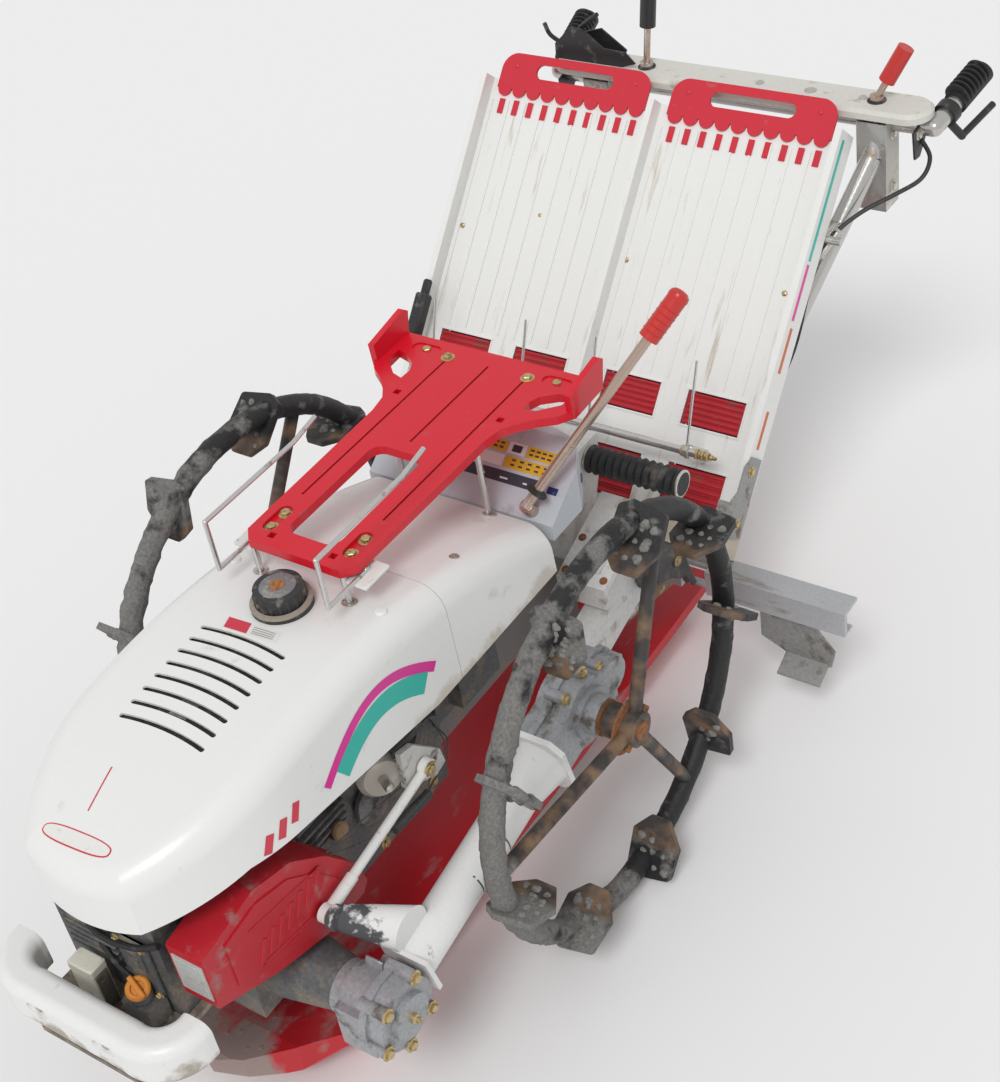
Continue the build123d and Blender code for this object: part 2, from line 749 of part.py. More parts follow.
# Float under the whole machine
with BuildPart() as float_body:
    for z, inset in ((0, float_undercut), (float_edge_z, 0)):
        with BuildSketch(Plane.XY.offset(z)):
            with BuildLine():
                Polyline(*float_outline(inset), close=True)
            make_face()
    loft(ruled=True)
    with BuildSketch(Plane.XY.offset(float_edge_z)):
        with BuildLine():
            Polyline(*float_outline(0), close=True)
        make_face()
    extrude(amount=104 - float_edge_z)
    with BuildSketch(Plane.YZ.offset(-200)):
        with BuildLine():
            Polyline((axle_y - 560, -1), (axle_y - 330, -1), (axle_y - 560, 82), close=True)
        make_face()
    extrude(amount=400, mode=Mode.SUBTRACT)
    with BuildSketch(Plane.YZ.offset(-200)):
        with BuildLine():
            Polyline((float_rear_y + 1, float_top_z), (float_rear_y + 1, 140), (axle_y - 560, 140),
                     (axle_y - 560, 84), (axle_y - 520, 100), (axle_y - 466, 97), (axle_y - 402, float_top_z),
                     close=True)
        make_face()
    extrude(amount=400, mode=Mode.SUBTRACT)
float_body.part.label = "float"
export_step(float_body.part, "parts/float.step")

# Console behind the hood, a hollow pod on a post
console_low_z = 466
console_wall = 3


def console_top(dy):
    return 488 + dy * 63 / 98


def console_body(inset, low):
    with BuildPart() as made:
        with BuildSketch(Plane.XY.offset(low)):
            with BuildLine():
                Polyline((-console_half + inset, console_y + inset), (console_half - inset, console_y + inset),
                         (console_half - inset, console_y + 66), (console_half - 18 - inset, console_y + 98 - inset),
                         (88 - inset, console_y + 110 - inset), (-88 + inset, console_y + 110 - inset),
                         (-console_half + 18 + inset, console_y + 98 - inset), (-console_half + inset, console_y + 66),
                         close=True)
            make_face()
        extrude(amount=120)
        with BuildSketch(Plane.YZ.offset(-console_half - 1)):
            with BuildLine():
                Polyline((console_y - 1, console_low_z - 1), (console_y + 111, console_low_z - 1),
                         (console_y + 111, console_top(100) - inset * 1.2 - 4),
                         (console_y + 96, console_top(96) - inset * 1.2), (console_y - 1, console_top(-1) - inset * 1.2),
                         close=True)
            make_face()
        extrude(amount=2 * console_half + 2, mode=Mode.INTERSECT)
    return made.part


with BuildPart() as console:
    add(console_body(0, console_low_z) - console_body(console_wall, console_low_z - 2))
    with BuildSketch(Plane.YZ.offset(-30)):
        with BuildLine():
            Polyline((console_y + 12, console_post_z), (console_y + 60, console_post_z),
                     (console_y + 60, console_top(60) - 2), (console_y + 12, console_top(12) - 2), close=True)
        make_face()
    extrude(amount=60)
console.part.label = "console"
export_step(console.part, "parts/console.step")

# Rail in front of the table, with its end plates
rail_y = table_y - 22
with BuildPart() as rail:
    with BuildSketch(Plane.YZ.offset(-rail_half)):
        with BuildLine():
            Polyline((rail_y, rail_top_z), (rail_y + 40, rail_top_z), (rail_y + 40, rail_top_z - 6),
                     (rail_y + 8, rail_top_z - 6), (rail_y + 8, rail_top_z - 38), (rail_y + 24, rail_top_z - 38),
                     (rail_y + 24, rail_top_z - 42), (rail_y, rail_top_z - 42), (rail_y, rail_top_z))
        make_face()
    extrude(amount=2 * rail_half)
    with BuildSketch(Plane.XY.offset(rail_top_z - 50)):
        with Locations((claw_x, rail_y), (-claw_x, rail_y)):
            Rectangle(40, 24)
    extrude(amount=60, mode=Mode.SUBTRACT)
    with BuildSketch(Plane.XY.offset(rail_top_z - 42)):
        with Locations((0, (table_y - 60 + rail_y + 4) / 2)):
            Rectangle(120, rail_y + 4 - table_y + 60)
    extrude(amount=36)
    with BuildSketch(Plane.XY.offset(rail_top_z - 10)):
        with Locations((0, table_y - 45)):
            Rectangle(120, 30)
    extrude(amount=54)
rail.part.label = "rail"
export_step(rail.part, "parts/rail.step")

with BuildPart() as rail_ends:
    for side in (1, -1):
        with BuildSketch(Plane.XZ.offset(-(rail_y + 8))):
            with BuildLine():
                Polyline((side * 262, rail_top_z - 42), (side * 340, rail_top_z - 42), (side * 376, 118),
                         (side * 370, 88), (side * 300, 92), (side * 262, 110), (side * 262, rail_top_z - 42))
            make_face()
        extrude(amount=-4)
        with BuildSketch(Plane.YZ.offset(side * 300)):
            with BuildLine():
                Polyline((rail_y + 8, 92), (rail_y - 22, 78), (rail_y - 22, 74), (rail_y + 12, 88), (rail_y + 12, 96),
                         (rail_y + 8, 96), close=True)
            make_face()
        extrude(amount=side * 66)
rail_ends.part.label = "rail_ends"
export_step(rail_ends.part, "parts/rail_ends.step")

# Seedling table on its slope
deck = Plane(origin=(table_x, table_y, table_z), x_dir=(1, 0, 0), z_dir=(
    0, -math.sin(math.radians(table_slope)), math.cos(math.radians(table_slope))))
with BuildPart() as table_panel:
    with BuildSketch(deck):
        with Locations((0, table_len / 2)):
            Rectangle(2 * table_half, table_len)
    extrude(amount=-table_thick)
    for x in (-table_half + 5, 0, table_half - 5):
        with BuildSketch(deck):
            with Locations((x, table_len / 2)):
                Rectangle(10, table_len)
        extrude(amount=table_wall)
    for k in range(2 * rib_count):
        x = (k - rib_count + 0.5) * lane_pitch / rib_count
        with BuildSketch(deck):
            with Locations((x, (rib_low_s + rib_high_s) / 2)):
                Rectangle(3, rib_high_s - rib_low_s)
        extrude(amount=2)
    for x in (-lane_pitch / 2, lane_pitch / 2):
        for side in (1, -1):
            for low, high in window_rows:
                with BuildSketch(deck.offset(1)):
                    with Locations((x + side * 69, (low + high) / 2)):
                        Rectangle(96, high - low)
                extrude(amount=-table_thick - 2, mode=Mode.SUBTRACT)
table_panel.part.label = "table_panel"
export_step(table_panel.part, "parts/table_panel.step")

with BuildPart() as table_belts:
    for x in (-lane_pitch / 2, lane_pitch / 2):
        for side in (1, -1):
            with BuildSketch(deck.offset(-table_thick - 10)):
                with Locations((x + side * 69, 130)):
                    Rectangle(92, 220)
            extrude(amount=10)
            for low, high in window_rows:
                with BuildSketch(deck.offset(-table_thick - 4)):
                    with Locations((x + side * 69, (low + high) / 2)):
                        Rectangle(92, high - low - 4)
                extrude(amount=table_thick + 2)
                with BuildSketch(deck.offset(-2)):
                    with Locations((x + side * 69, (low + high) / 2)):
                        with GridLocations(0, (high - low) / belt_grooves, 1, belt_grooves - 1):
                            Rectangle(92, 2.5)
                extrude(amount=-2.5, mode=Mode.SUBTRACT)
table_belts.part.label = "table_belts"
export_step(table_belts.part, "parts/table_belts.step")

scallop = 26
with BuildPart() as table_plates:
    for x in (-lane_pitch / 2, lane_pitch / 2):
        with BuildSketch(deck.offset(0)):
            with Locations((x, table_len + 14)):
                RectangleRounded(262, 56, 26)
            with Locations((x, table_len - 2)):
                Rectangle(262, 24)
            with Locations((x, table_len - 14)):
                with GridLocations(scallop, 0, rib_count, 1):
                    Circle(scallop / 2 - 1.5)
            with Locations((x, table_len + 18)):
                SlotOverall(136, 22, mode=Mode.SUBTRACT)
        extrude(amount=4)
table_plates.part.label = "table_plates"
export_step(table_plates.part, "parts/table_plates.step")

# Presser rod with its wire fingers, on two stands
presser_s = 132
presser_h = 58
presser_half = 237
with BuildPart() as presser:
    for side in (1, -1):
        with BuildSketch(deck):
            with Locations((side * (presser_half - 12), presser_s)):
                Rectangle(8, 20)
        extrude(amount=presser_h)
    spot = deck.from_local_coords(Vector(0, presser_s, presser_h))
    with BuildSketch(Plane.YZ.offset(table_x - presser_half)):
        with Locations((spot.Y, spot.Z)):
            Circle(6)
    extrude(amount=2 * presser_half)
    for x in (-222, -60, 60, 222):
        p = deck.from_local_coords(Vector(x, presser_s, presser_h))
        q = deck.from_local_coords(Vector(x, 255, 104))
        plane, length = rod((p.X, p.Y, p.Z), (q.X, q.Y, q.Z), 2)
        with BuildSketch(plane):
            Circle(2)
        extrude(amount=length)
presser.part.label = "presser"
export_step(presser.part, "parts/presser.step")

# Bellows over the feed screw, either side of the feed case
fold_count = 13
fold_step = 11.4
fold_low_r = 16.5
fold_r = 20.5
with BuildPart() as bellows:
    for side in (1, -1):
        outline = [(side * 38, 0), (side * 38, fold_low_r)]
        for k in range(fold_count):
            outline.append((side * (38 + fold_step * (k + 0.5)), fold_r))
            outline.append((side * (38 + fold_step * (k + 1)), fold_low_r))
        outline.append((side * (38 + fold_step * fold_count), 0))
        with BuildSketch(Plane(origin=(0, feed_y, feed_z), x_dir=(1, 0, 0), z_dir=(0, -1, 0))):
            with BuildLine():
                Polyline(*outline, close=True)
            make_face()
        revolve(axis=Axis((0, feed_y, feed_z), (1, 0, 0)))
bellows.part.label = "bellows"
export_step(bellows.part, "parts/bellows.step")

# Handle columns from the main beam under the table to the panel
column = ((76, table_y - 84, beam_z - 22), (76, table_y - 84, 138), (90, table_y + 44, 126),
          (225, panel_y - 24, panel_z - 54), (225, panel_y, panel_z - 12))
with BuildPart() as handle_frame:
    for side in (1, -1):
        for k in range(len(column) - 1):
            p, q = column[k], column[k + 1]
            plane, length = rod((side * p[0], p[1], p[2]), (side * q[0], q[1], q[2]), 15)
            with BuildSketch(plane):
                Circle(15)
            extrude(amount=length)
            with Locations((side * q[0], q[1], q[2])):
                Sphere(15)
    with BuildSketch(Plane.YZ.offset(-grip_x + 18)):
        with Locations((panel_y, panel_z - 6)):
            Circle(13)
    extrude(amount=2 * grip_x - 36)
    for side in (1, -1):
        plane, length = rod((side * (grip_x - 18), panel_y, panel_z - 6), (side * grip_x, panel_y + 118, panel_z + 22), 13)
        with Locations((side * (grip_x - 18), panel_y, panel_z - 6)):
            Sphere(13)
        with BuildSketch(plane):
            Circle(13)
        extrude(amount=length)
    for side in (1, -1):
        with BuildSketch(Plane.XY.offset(panel_z - 6)):
            with Locations((side * 150, panel_y)):
                Rectangle(40, 18)
        extrude(amount=14)
    for side in (1, -1):
        with BuildSketch(Plane.XY.offset(panel_z - 136)):
            with Locations((side * 225, panel_y - 5)):
                Rectangle(44, 42)
            with Locations((side * 225, panel_y - 1)):
                Rectangle(36, 42, mode=Mode.SUBTRACT)
        extrude(amount=136)
    guide = deck.from_local_coords(Vector(0, table_len - 144, -table_thick - 7))
    back = (guide.Z - column[2][2]) / (column[3][2] - column[2][2])
    back_x = column[2][0] + (column[3][0] - column[2][0]) * back
    back_y = column[2][1] + (column[3][1] - column[2][1]) * back
    with BuildSketch(Plane.YZ.offset(-230)):
        with Locations((guide.Y, guide.Z)):
            Circle(6)
    extrude(amount=460)
    for side in (1, -1):
        plane, length = rod((side * back_x, guide.Y, guide.Z), (side * back_x, back_y, guide.Z), 6)
        with BuildSketch(plane):
            Circle(6)
        extrude(amount=length)
handle_frame.part.label = "handle_frame"
export_step(handle_frame.part, "parts/handle_frame.step")

with BuildPart() as handle_grips:
    for side in (1, -1):
        plane, length = rod((side * (grip_x - 18), panel_y, panel_z - 6), (side * grip_x, panel_y + 118, panel_z + 22), 13)
        with BuildSketch(plane.offset(54)):
            Circle(17)
        extrude(amount=length - 54 + 5)
        with BuildSketch(plane.offset(50)):
            Circle(13 + running)
        extrude(amount=length - 50, mode=Mode.SUBTRACT)
handle_grips.part.label = "handle_grips"
export_step(handle_grips.part, "parts/handle_grips.step")

with BuildPart() as handle_panel:
    with BuildSketch(Plane.XY.offset(panel_z + 8)):
        with Locations((0, panel_y)):
            RectangleRounded(2 * panel_half, 68, 33)
    extrude(amount=14)
    chamfer(handle_panel.faces().sort_by(Axis.Z)[-1].edges(), 5)
handle_panel.part.label = "handle_panel"
export_step(handle_panel.part, "parts/handle_panel.step")

# Clutch levers under the grips, each on a clamp round the bar
with BuildPart() as clutch_levers:
    for side in (1, -1):
        start = (side * (grip_x - 18), panel_y, panel_z - 6)
        end = (side * grip_x, panel_y + 118, panel_z + 22)
        plane, length = rod(start, end, 13)
        with BuildSketch(plane.offset(26)):
            Circle(18)
        extrude(amount=16)
        plane2, length2 = rod((side * (grip_x - 12), panel_y + 32, panel_z - 10),
                              (side * (grip_x + 2), panel_y + 50, panel_z - 40), 5)
        with BuildSketch(plane2):
            Circle(6)
        extrude(amount=length2)
        plane3, length3 = rod((side * (grip_x + 2), panel_y + 50, panel_z - 40),
                              (side * (grip_x + 18), panel_y + 122, panel_z - 24), 5)
        with BuildSketch(plane3):
            Circle(5)
        extrude(amount=length3)
        with Locations((side * (grip_x + 2), panel_y + 50, panel_z - 40)):
            Sphere(6)
        with BuildSketch(plane.offset(20)):
            Circle(13 + pin_fit)
        extrude(amount=30, mode=Mode.SUBTRACT)
clutch_levers.part.label = "clutch_levers"
export_step(clutch_levers.part, "parts/clutch_levers.step")

# Control levers: the long shift lever on the console and two short ones on the panel
shift_x = 108
shift_low = (shift_x, axle_y + 104, 510)
shift_top = (213, axle_y + 256, 689)
face_lean = math.atan2(63, 98)
panel_levers = ((222, 12, 28, 54), (-148, 4, 62, 44))
panel_top_z = panel_z + 22
with BuildPart() as lever_rods:
    foot = Plane(origin=(shift_x, console_y + 10, 488 + 10 * math.tan(face_lean)), z_dir=(
        0, -math.sin(face_lean), math.cos(face_lean)))
    with BuildSketch(foot):
        Circle(9)
    extrude(amount=20)
    plane, length = rod(shift_low, shift_top, 7)
    with BuildSketch(plane):
        Circle(6.5)
    extrude(amount=length)
    for x, lean, up, grip in panel_levers:
        with BuildSketch(Plane.XY.offset(panel_top_z)):
            with Locations((x, panel_y)):
                Circle(10)
        extrude(amount=8)
        plane, length = rod((x, panel_y, panel_top_z + 4), (x + lean, panel_y + 6, panel_top_z + up), 5)
        with BuildSketch(plane):
            Circle(5)
        extrude(amount=length)
lever_rods.part.label = "lever_rods"
export_step(lever_rods.part, "parts/lever_rods.step")

with BuildPart() as lever_grips:
    plane, length = rod(shift_low, shift_top, 7)
    with BuildSketch(plane.offset(length)):
        Circle(13)
    extrude(amount=62)
    for x, lean, up, grip in panel_levers:
        plane, length = rod((x, panel_y, panel_top_z + 4), (x + lean, panel_y + 6, panel_top_z + up), 5)
        with BuildSketch(plane.offset(length)):
            Circle(12)
        extrude(amount=grip)
lever_grips.part.label = "lever_grips"
export_step(lever_grips.part, "parts/lever_grips.step")

# Seedling rack over the hood, standing on four rods
rack_z = 611
rack_t = 12
rack_groove_x = (-60, 0, 60)
rack_half = ((66, -188), (80, -172), (84, 76), (89, 104), (101, 121), (118, 138), (139, 153), (153, 173), (151, 238))
rack_window = ((92, 148), (91, 165), (97, 180), (116, 194), (133, 199), (132, 176), (108, 153))
with BuildPart() as rack:
    with BuildSketch(Plane.XY.offset(rack_z)):
        with BuildLine():
            Polyline(*[(x, axle_y + y) for x, y in rack_half], *[(-x, axle_y + y) for x, y in rack_half[::-1]],
                     close=True)
        make_face()
        with Locations((0, axle_y - 68)):
            RectangleRounded(74, 178, 16, mode=Mode.SUBTRACT)
        for side in (1, -1):
            with BuildLine():
                Polyline(*[(side * x, axle_y + y) for x, y in rack_window], close=True)
            make_face(mode=Mode.SUBTRACT)
        with Locations((45, axle_y - 170), (-45, axle_y - 170), (78, axle_y + 121), (-78, axle_y + 121)):
            Rectangle(9, 9, mode=Mode.SUBTRACT)
    extrude(amount=rack_t)
    with BuildSketch(Plane.XY.offset(rack_z + rack_t - 2)):
        for x in rack_groove_x:
            with Locations((x, axle_y + (126 if x == 0 else 58))):
                Rectangle(3, 170 if x == 0 else 306)
        with Locations((100, axle_y + 216), (-100, axle_y + 216)):
            SlotOverall(42, 18)
    extrude(amount=4, mode=Mode.SUBTRACT)
    with BuildSketch(Plane.XY.offset(rack_z + rack_t - 5)):
        with Locations((59, axle_y - 142), (-59, axle_y - 142)):
            SlotOverall(46, 19, rotation=90)
    extrude(amount=6, mode=Mode.SUBTRACT)
    for side in (1, -1):
        with BuildSketch(Plane.YZ.offset(side * 144)):
            with BuildLine():
                Polyline((axle_y + 168, rack_z + 2), (axle_y + 236, rack_z + 2), (axle_y + 244, rack_z + rack_t + 30),
                         (axle_y + 236, rack_z + rack_t + 36), (axle_y + 166, rack_z + rack_t + 24), close=True)
            make_face()
        extrude(amount=side * 9)
rack.part.label = "rack"
export_step(rack.part, "parts/rack.step")

rack_feet = ((66, axle_y - 183, 552, -160), (64, axle_y + 84, 474, 100))
guard_x = 80
guard_path = ((axle_y - 25, 683), (axle_y - 69, 675), (axle_y - 229, 675), (axle_y - 229, rack_z - 5),
              (axle_y - 158, rack_z - 5), (axle_y - 158, rack_z))
with BuildPart() as rack_rods:
    for side in (1, -1):
        for x, y, z, top_y in rack_feet:
            with BuildSketch(Plane.XY.offset(z)):
                with Locations((side * x, y)):
                    Circle(4)
            extrude(amount=rack_z - z)
        for k in range(len(guard_path) - 1):
            p, q = guard_path[k], guard_path[k + 1]
            plane, length = rod((side * guard_x, p[0], p[1]), (side * guard_x, q[0], q[1]), 3)
            with BuildSketch(plane):
                Circle(3)
            extrude(amount=length)
            if k < len(guard_path) - 2:
                with Locations((side * guard_x, q[0], q[1])):
                    Sphere(3)
rack_rods.part.label = "rack_rods"
export_step(rack_rods.part, "parts/rack_rods.step")
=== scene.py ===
import math

import bpy
from mathutils import Matrix, Vector, noise
from mathutils.bvhtree import BVHTree


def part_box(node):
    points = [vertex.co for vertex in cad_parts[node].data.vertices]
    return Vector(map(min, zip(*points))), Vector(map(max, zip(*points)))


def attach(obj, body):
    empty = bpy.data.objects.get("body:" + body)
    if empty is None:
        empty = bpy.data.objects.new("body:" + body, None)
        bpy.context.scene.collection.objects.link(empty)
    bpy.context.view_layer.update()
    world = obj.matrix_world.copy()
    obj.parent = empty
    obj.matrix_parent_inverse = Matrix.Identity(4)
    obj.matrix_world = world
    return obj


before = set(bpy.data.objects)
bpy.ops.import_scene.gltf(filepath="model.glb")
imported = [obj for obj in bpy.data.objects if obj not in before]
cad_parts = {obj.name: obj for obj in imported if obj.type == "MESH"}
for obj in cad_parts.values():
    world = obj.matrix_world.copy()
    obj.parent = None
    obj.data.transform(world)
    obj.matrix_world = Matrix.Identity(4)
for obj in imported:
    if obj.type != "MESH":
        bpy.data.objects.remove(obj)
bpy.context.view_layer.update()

# Camera: stands in front of the machine's left shoulder, above it, and looks down along the table
focal_pixels, photo_height, sensor = 1773.8, 1082, 36
camera_data = bpy.data.cameras.new("camera")
camera_data.sensor_width = sensor
camera_data.lens = focal_pixels / photo_height * sensor
camera = bpy.data.objects.new("camera", camera_data)
bpy.context.collection.objects.link(camera)
turn, tilt, roll = math.radians(40.2), math.radians(39.0), math.radians(-10.4)
flat_right = Vector((math.cos(turn), math.sin(turn), 0))
back = Vector((math.sin(turn) * math.cos(tilt), -math.cos(turn) * math.cos(tilt), math.sin(tilt)))
flat_up = back.cross(flat_right)
right = math.cos(roll) * flat_right + math.sin(roll) * flat_up
up = -math.sin(roll) * flat_right + math.cos(roll) * flat_up
stand = (1.1897, -1.3962, 1.8582)
camera.matrix_world = Matrix([*zip(right, up, back, stand), (0, 0, 0, 1)])
bpy.context.scene.camera = camera
bpy.context.scene.view_settings.view_transform = "Standard"

# Floor: one pale sheet under the machine
reach = 9
floor_mesh = bpy.data.meshes.new("floor")
floor_corners = [(-reach, -reach, 0), (reach, -reach, 0), (reach, reach, 0), (-reach, reach, 0)]
floor_mesh.from_pydata(floor_corners, [], [(0, 1, 2, 3)])
floor = bpy.data.objects.new("floor", floor_mesh)
bpy.context.collection.objects.link(floor)
floor_paint = bpy.data.materials.new("floor paint")
floor_paint.use_nodes = True
floor_skin = floor_paint.node_tree.nodes["Principled BSDF"]
floor_skin.inputs["Base Color"].default_value = (0.86, 0.86, 0.86, 1)
floor_skin.inputs["Roughness"].default_value = 0.8
floor_mesh.materials.append(floor_paint)

# World and lamp: an even white sky with one broad sun
world = bpy.data.worlds.new("studio")
bpy.context.scene.world = world
world.use_nodes = True
sky = world.node_tree.nodes["Background"]
sky.inputs["Color"].default_value = (1, 1, 1, 1)
sky.inputs["Strength"].default_value = 0.66
sun_data = bpy.data.lights.new("sun", "SUN")
sun_data.energy = 1.3
sun_data.angle = math.radians(20)
sun = bpy.data.objects.new("sun", sun_data)
bpy.context.collection.objects.link(sun)
sun.rotation_euler = (math.radians(35), math.radians(15), 0)

# Hood, two shells split by a seam across the top
# Moulded white plastic, glossy on top, with dust in the corners and a dirty lower lip
# Held by screws at the seam, and it lifts off for the engine


def add_node(paint, kind, inputs, **settings):
    """One more node of a paint. Each input takes a value, or the output that feeds it."""
    made = paint.node_tree.nodes.new("ShaderNode" + kind)
    for name, value in settings.items():
        setattr(made, name, value)
    for name, value in inputs.items():
        if isinstance(value, bpy.types.NodeSocket):
            paint.node_tree.links.new(value, made.inputs[name])
        else:
            made.inputs[name].default_value = value
    return made


def finish(name, clean, dirt, share=0.3, size=9.0, rough=0.4, dirt_rough=0.85, metal=0.0, grain=0.15,
           grain_size=220.0, fade=None, near=None, stretch=(1, 1, 1)):
    """A weathered paint: a clean colour with dirt in patches. fade adds dirt along an axis, from most at its
    first number to none at its second; near adds it round a point, the same on both sides of the machine."""
    paint = bpy.data.materials.new(name)
    paint.use_nodes = True
    skin = paint.node_tree.nodes["Principled BSDF"]
    skin.inputs["Metallic"].default_value = metal
    place = add_node(paint, "TexCoord", {}).outputs["Object"]
    scaled = add_node(paint, "Mapping", {"Vector": place, "Scale": stretch}).outputs["Vector"]
    cloud = add_node(paint, "TexNoise", {"Vector": scaled, "Scale": size, "Detail": 8, "Roughness": 0.62})
    height = cloud.outputs["Fac"]
    amounts = []
    if fade:
        dot = add_node(paint, "VectorMath", {0: place, 1: fade[0]}, operation="DOT_PRODUCT")
        amounts.append((dot.outputs["Value"], fade[1], fade[2], 0.28))
    if near:
        both_sides = add_node(paint, "VectorMath", {0: place}, operation="ABSOLUTE").outputs["Vector"]
        middle = [abs(x) for x in near[0]]
        off = add_node(paint, "VectorMath", {0: both_sides, 1: middle}, operation="DISTANCE")
        amounts.append((off.outputs["Value"], near[1] * 0.3, near[1], 0.4))
    for value, start, end, much in amounts:
        slope = add_node(paint, "MapRange", {"Value": value, "From Min": start, "From Max": end,
                                             "To Min": much, "To Max": 0.0})
        height = add_node(paint, "Math", {0: height, 1: slope.outputs["Result"]}).outputs["Value"]
    edge = add_node(paint, "MapRange", {"Value": height, "From Min": 0.68 - 0.36 * share,
                                        "From Max": 0.80 - 0.36 * share}).outputs["Result"]
    tint = add_node(paint, "Mix", {"Factor": edge, 6: (*clean, 1), 7: (*dirt, 1)}, data_type="RGBA")
    speck = add_node(paint, "TexNoise", {"Vector": place, "Scale": grain_size, "Detail": 4}).outputs["Fac"]
    shade = add_node(paint, "MapRange", {"Value": speck, "To Min": 1 - 0.9 * grain,
                                         "To Max": 1 + 0.5 * grain})
    both = add_node(paint, "VectorMath", {0: tint.outputs[2], "Scale": shade.outputs["Result"]},
                    operation="SCALE")
    dull = add_node(paint, "MapRange", {"Value": edge, "To Min": rough, "To Max": dirt_rough})
    bumps = add_node(paint, "Bump", {"Strength": min(1.0, 1.6 * grain), "Distance": 0.0006, "Height": speck})
    for output, name_in in ((both.outputs["Vector"], "Base Color"), (dull.outputs["Result"], "Roughness"),
                            (bumps.outputs["Normal"], "Normal")):
        paint.node_tree.links.new(output, skin.inputs[name_in])
    return paint


def wear(paint, *names):
    """These CAD nodes take this paint."""
    for name in names:
        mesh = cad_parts[name].data
        mesh.materials.clear()
        mesh.materials.append(paint)


def piece(name, shapes, paint, body="chassis", sharp=35):
    """One mesh made of several shapes, riding on a body. A shape is a pair: its points and its faces."""
    points, faces = [], []
    for spots, sides in shapes:
        faces += [[k + len(points) for k in side] for side in sides]
        points += [tuple(spot) for spot in spots]
    mesh = bpy.data.meshes.new(name)
    mesh.from_pydata(points, [], faces)
    mesh.validate()
    mesh.materials.append(paint)
    mesh.shade_smooth()
    mesh.set_sharp_from_angle(angle=math.radians(sharp))
    made = bpy.data.objects.new(name.replace(" ", "_"), mesh)
    bpy.context.collection.objects.link(made)
    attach(made, body)


def skin_of(*names):
    """What a patch can be laid on: the faces of these CAD nodes."""
    points, faces = [], []
    for name in names:
        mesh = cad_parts[name].data
        faces += [[k + len(points) for k in side.vertices] for side in mesh.polygons]
        points += [spot.co.copy() for spot in mesh.vertices]
    return BVHTree.FromPolygons(points, faces)


hood_white = finish("hood white", (0.80, 0.80, 0.79), (0.60, 0.56, 0.49), share=0.12, size=14, rough=0.3,
                    dirt_rough=0.6, grain=0.03, fade=((0, 0, 1), 0.425, 0.452))
wear(hood_white, "hood_front", "hood_rear")
hood = skin_of("hood_front", "hood_rear")

# Decals of the hood: bare plate and line at the nose, bare label by the filler, bands on both flanks
# Printed film, a little faded; each flank carries two bands and three slashes
# Stuck on, so they follow the hood's curve


def film(name, clean, faded, share=0.1, size=60, rough=0.3, grain=0.05):
    """Printed film, faded in patches."""
    return finish(name, clean, faded, share=share, size=size, rough=rough, grain=grain)


def laid(ground, outline, way, off=0.4, fine=0.004):
    """A thin patch with this outline, dropped along way onto the ground and lifted off it by off millimetres.
    The outline is cut into a fine fan of rings."""
    way = Vector(way).normalized()
    middle = sum((Vector(spot) for spot in outline), Vector()) / len(outline)
    edge = []
    for k, spot in enumerate(outline):
        ahead = Vector(outline[(k + 1) % len(outline)])
        steps = max(1, round((ahead - Vector(spot)).length / fine))
        edge += [Vector(spot).lerp(ahead, j / steps) for j in range(steps)]
    rings = max(2, round(max((spot - middle).length for spot in edge) / fine / 2))
    points = []
    for j in range(1, rings + 1):
        points += [middle.lerp(spot, j / rings) for spot in edge]
    points.append(middle)
    dropped = []
    for spot in points:
        found = ground.ray_cast(spot - way * 0.2, way)
        flat = found[0] if found[0] is not None else spot
        dropped.append(flat - way * off / 1000)
    n = len(edge)
    faces = []
    for j in range(rings - 1):
        inner, outer = j * n, (j + 1) * n
        faces += [[inner + k, inner + (k + 1) % n, outer + (k + 1) % n, outer + k] for k in range(n)]
    faces += [[len(points) - 1, (k + 1) % n, k] for k in range(n)]
    return dropped, faces


def strip(ground, line, wide, way, off=0.4):
    """A thin stripe along a line of points, dropped along way onto the ground, its width across the line."""
    way = Vector(way).normalized()
    line = [Vector(spot) for spot in line]
    points = []
    for k, spot in enumerate(line):
        along = (line[min(k + 1, len(line) - 1)] - line[max(k - 1, 0)]).normalized()
        side = along.cross(way).normalized() * wide / 2
        for q in (spot - side, spot, spot + side):
            found = ground.ray_cast(q - way * 0.2, way)
            points.append((found[0] if found[0] is not None else q) - way * off / 1000)
    faces = []
    for k in range(len(line) - 1):
        faces += [[3 * k, 3 * k + 1, 3 * k + 4, 3 * k + 3], [3 * k + 1, 3 * k + 2, 3 * k + 5, 3 * k + 4]]
    return points, faces


def squarish(value):
    """Bends a sine or cosine outward, so that an oval gets fuller ends."""
    return math.copysign(abs(value) ** 0.7, value)


def nose_oval(wide, deep):
    """The nose plate's outline, at these shares of its full width and depth."""
    oval = [(0.047 * squarish(math.cos(t)), 0.0095 * squarish(math.sin(t)))
            for t in [2 * math.pi * k / 36 for k in range(36)]]
    return [(-0.007 + wide * x, -0.7318 + 0.05 * x + deep * y, over_hood) for x, y in oval]


def on_label(a, b):
    """A point of the filler label, a along its rear edge and b towards its front one."""
    rear_left, rear_right, front_right, front_left = (Vector(corner) for corner in label)
    return rear_left.lerp(rear_right, a).lerp(front_left.lerp(front_right, a), b)


def on_flanks(line, wide):
    """A stripe through these (y, z) points, on the left flank of the hood and on the right."""
    return [strip(hood, [(0.2 * s, y, z) for y, z in line], wide, (-s, 0, 0)) for s in (1, -1)]


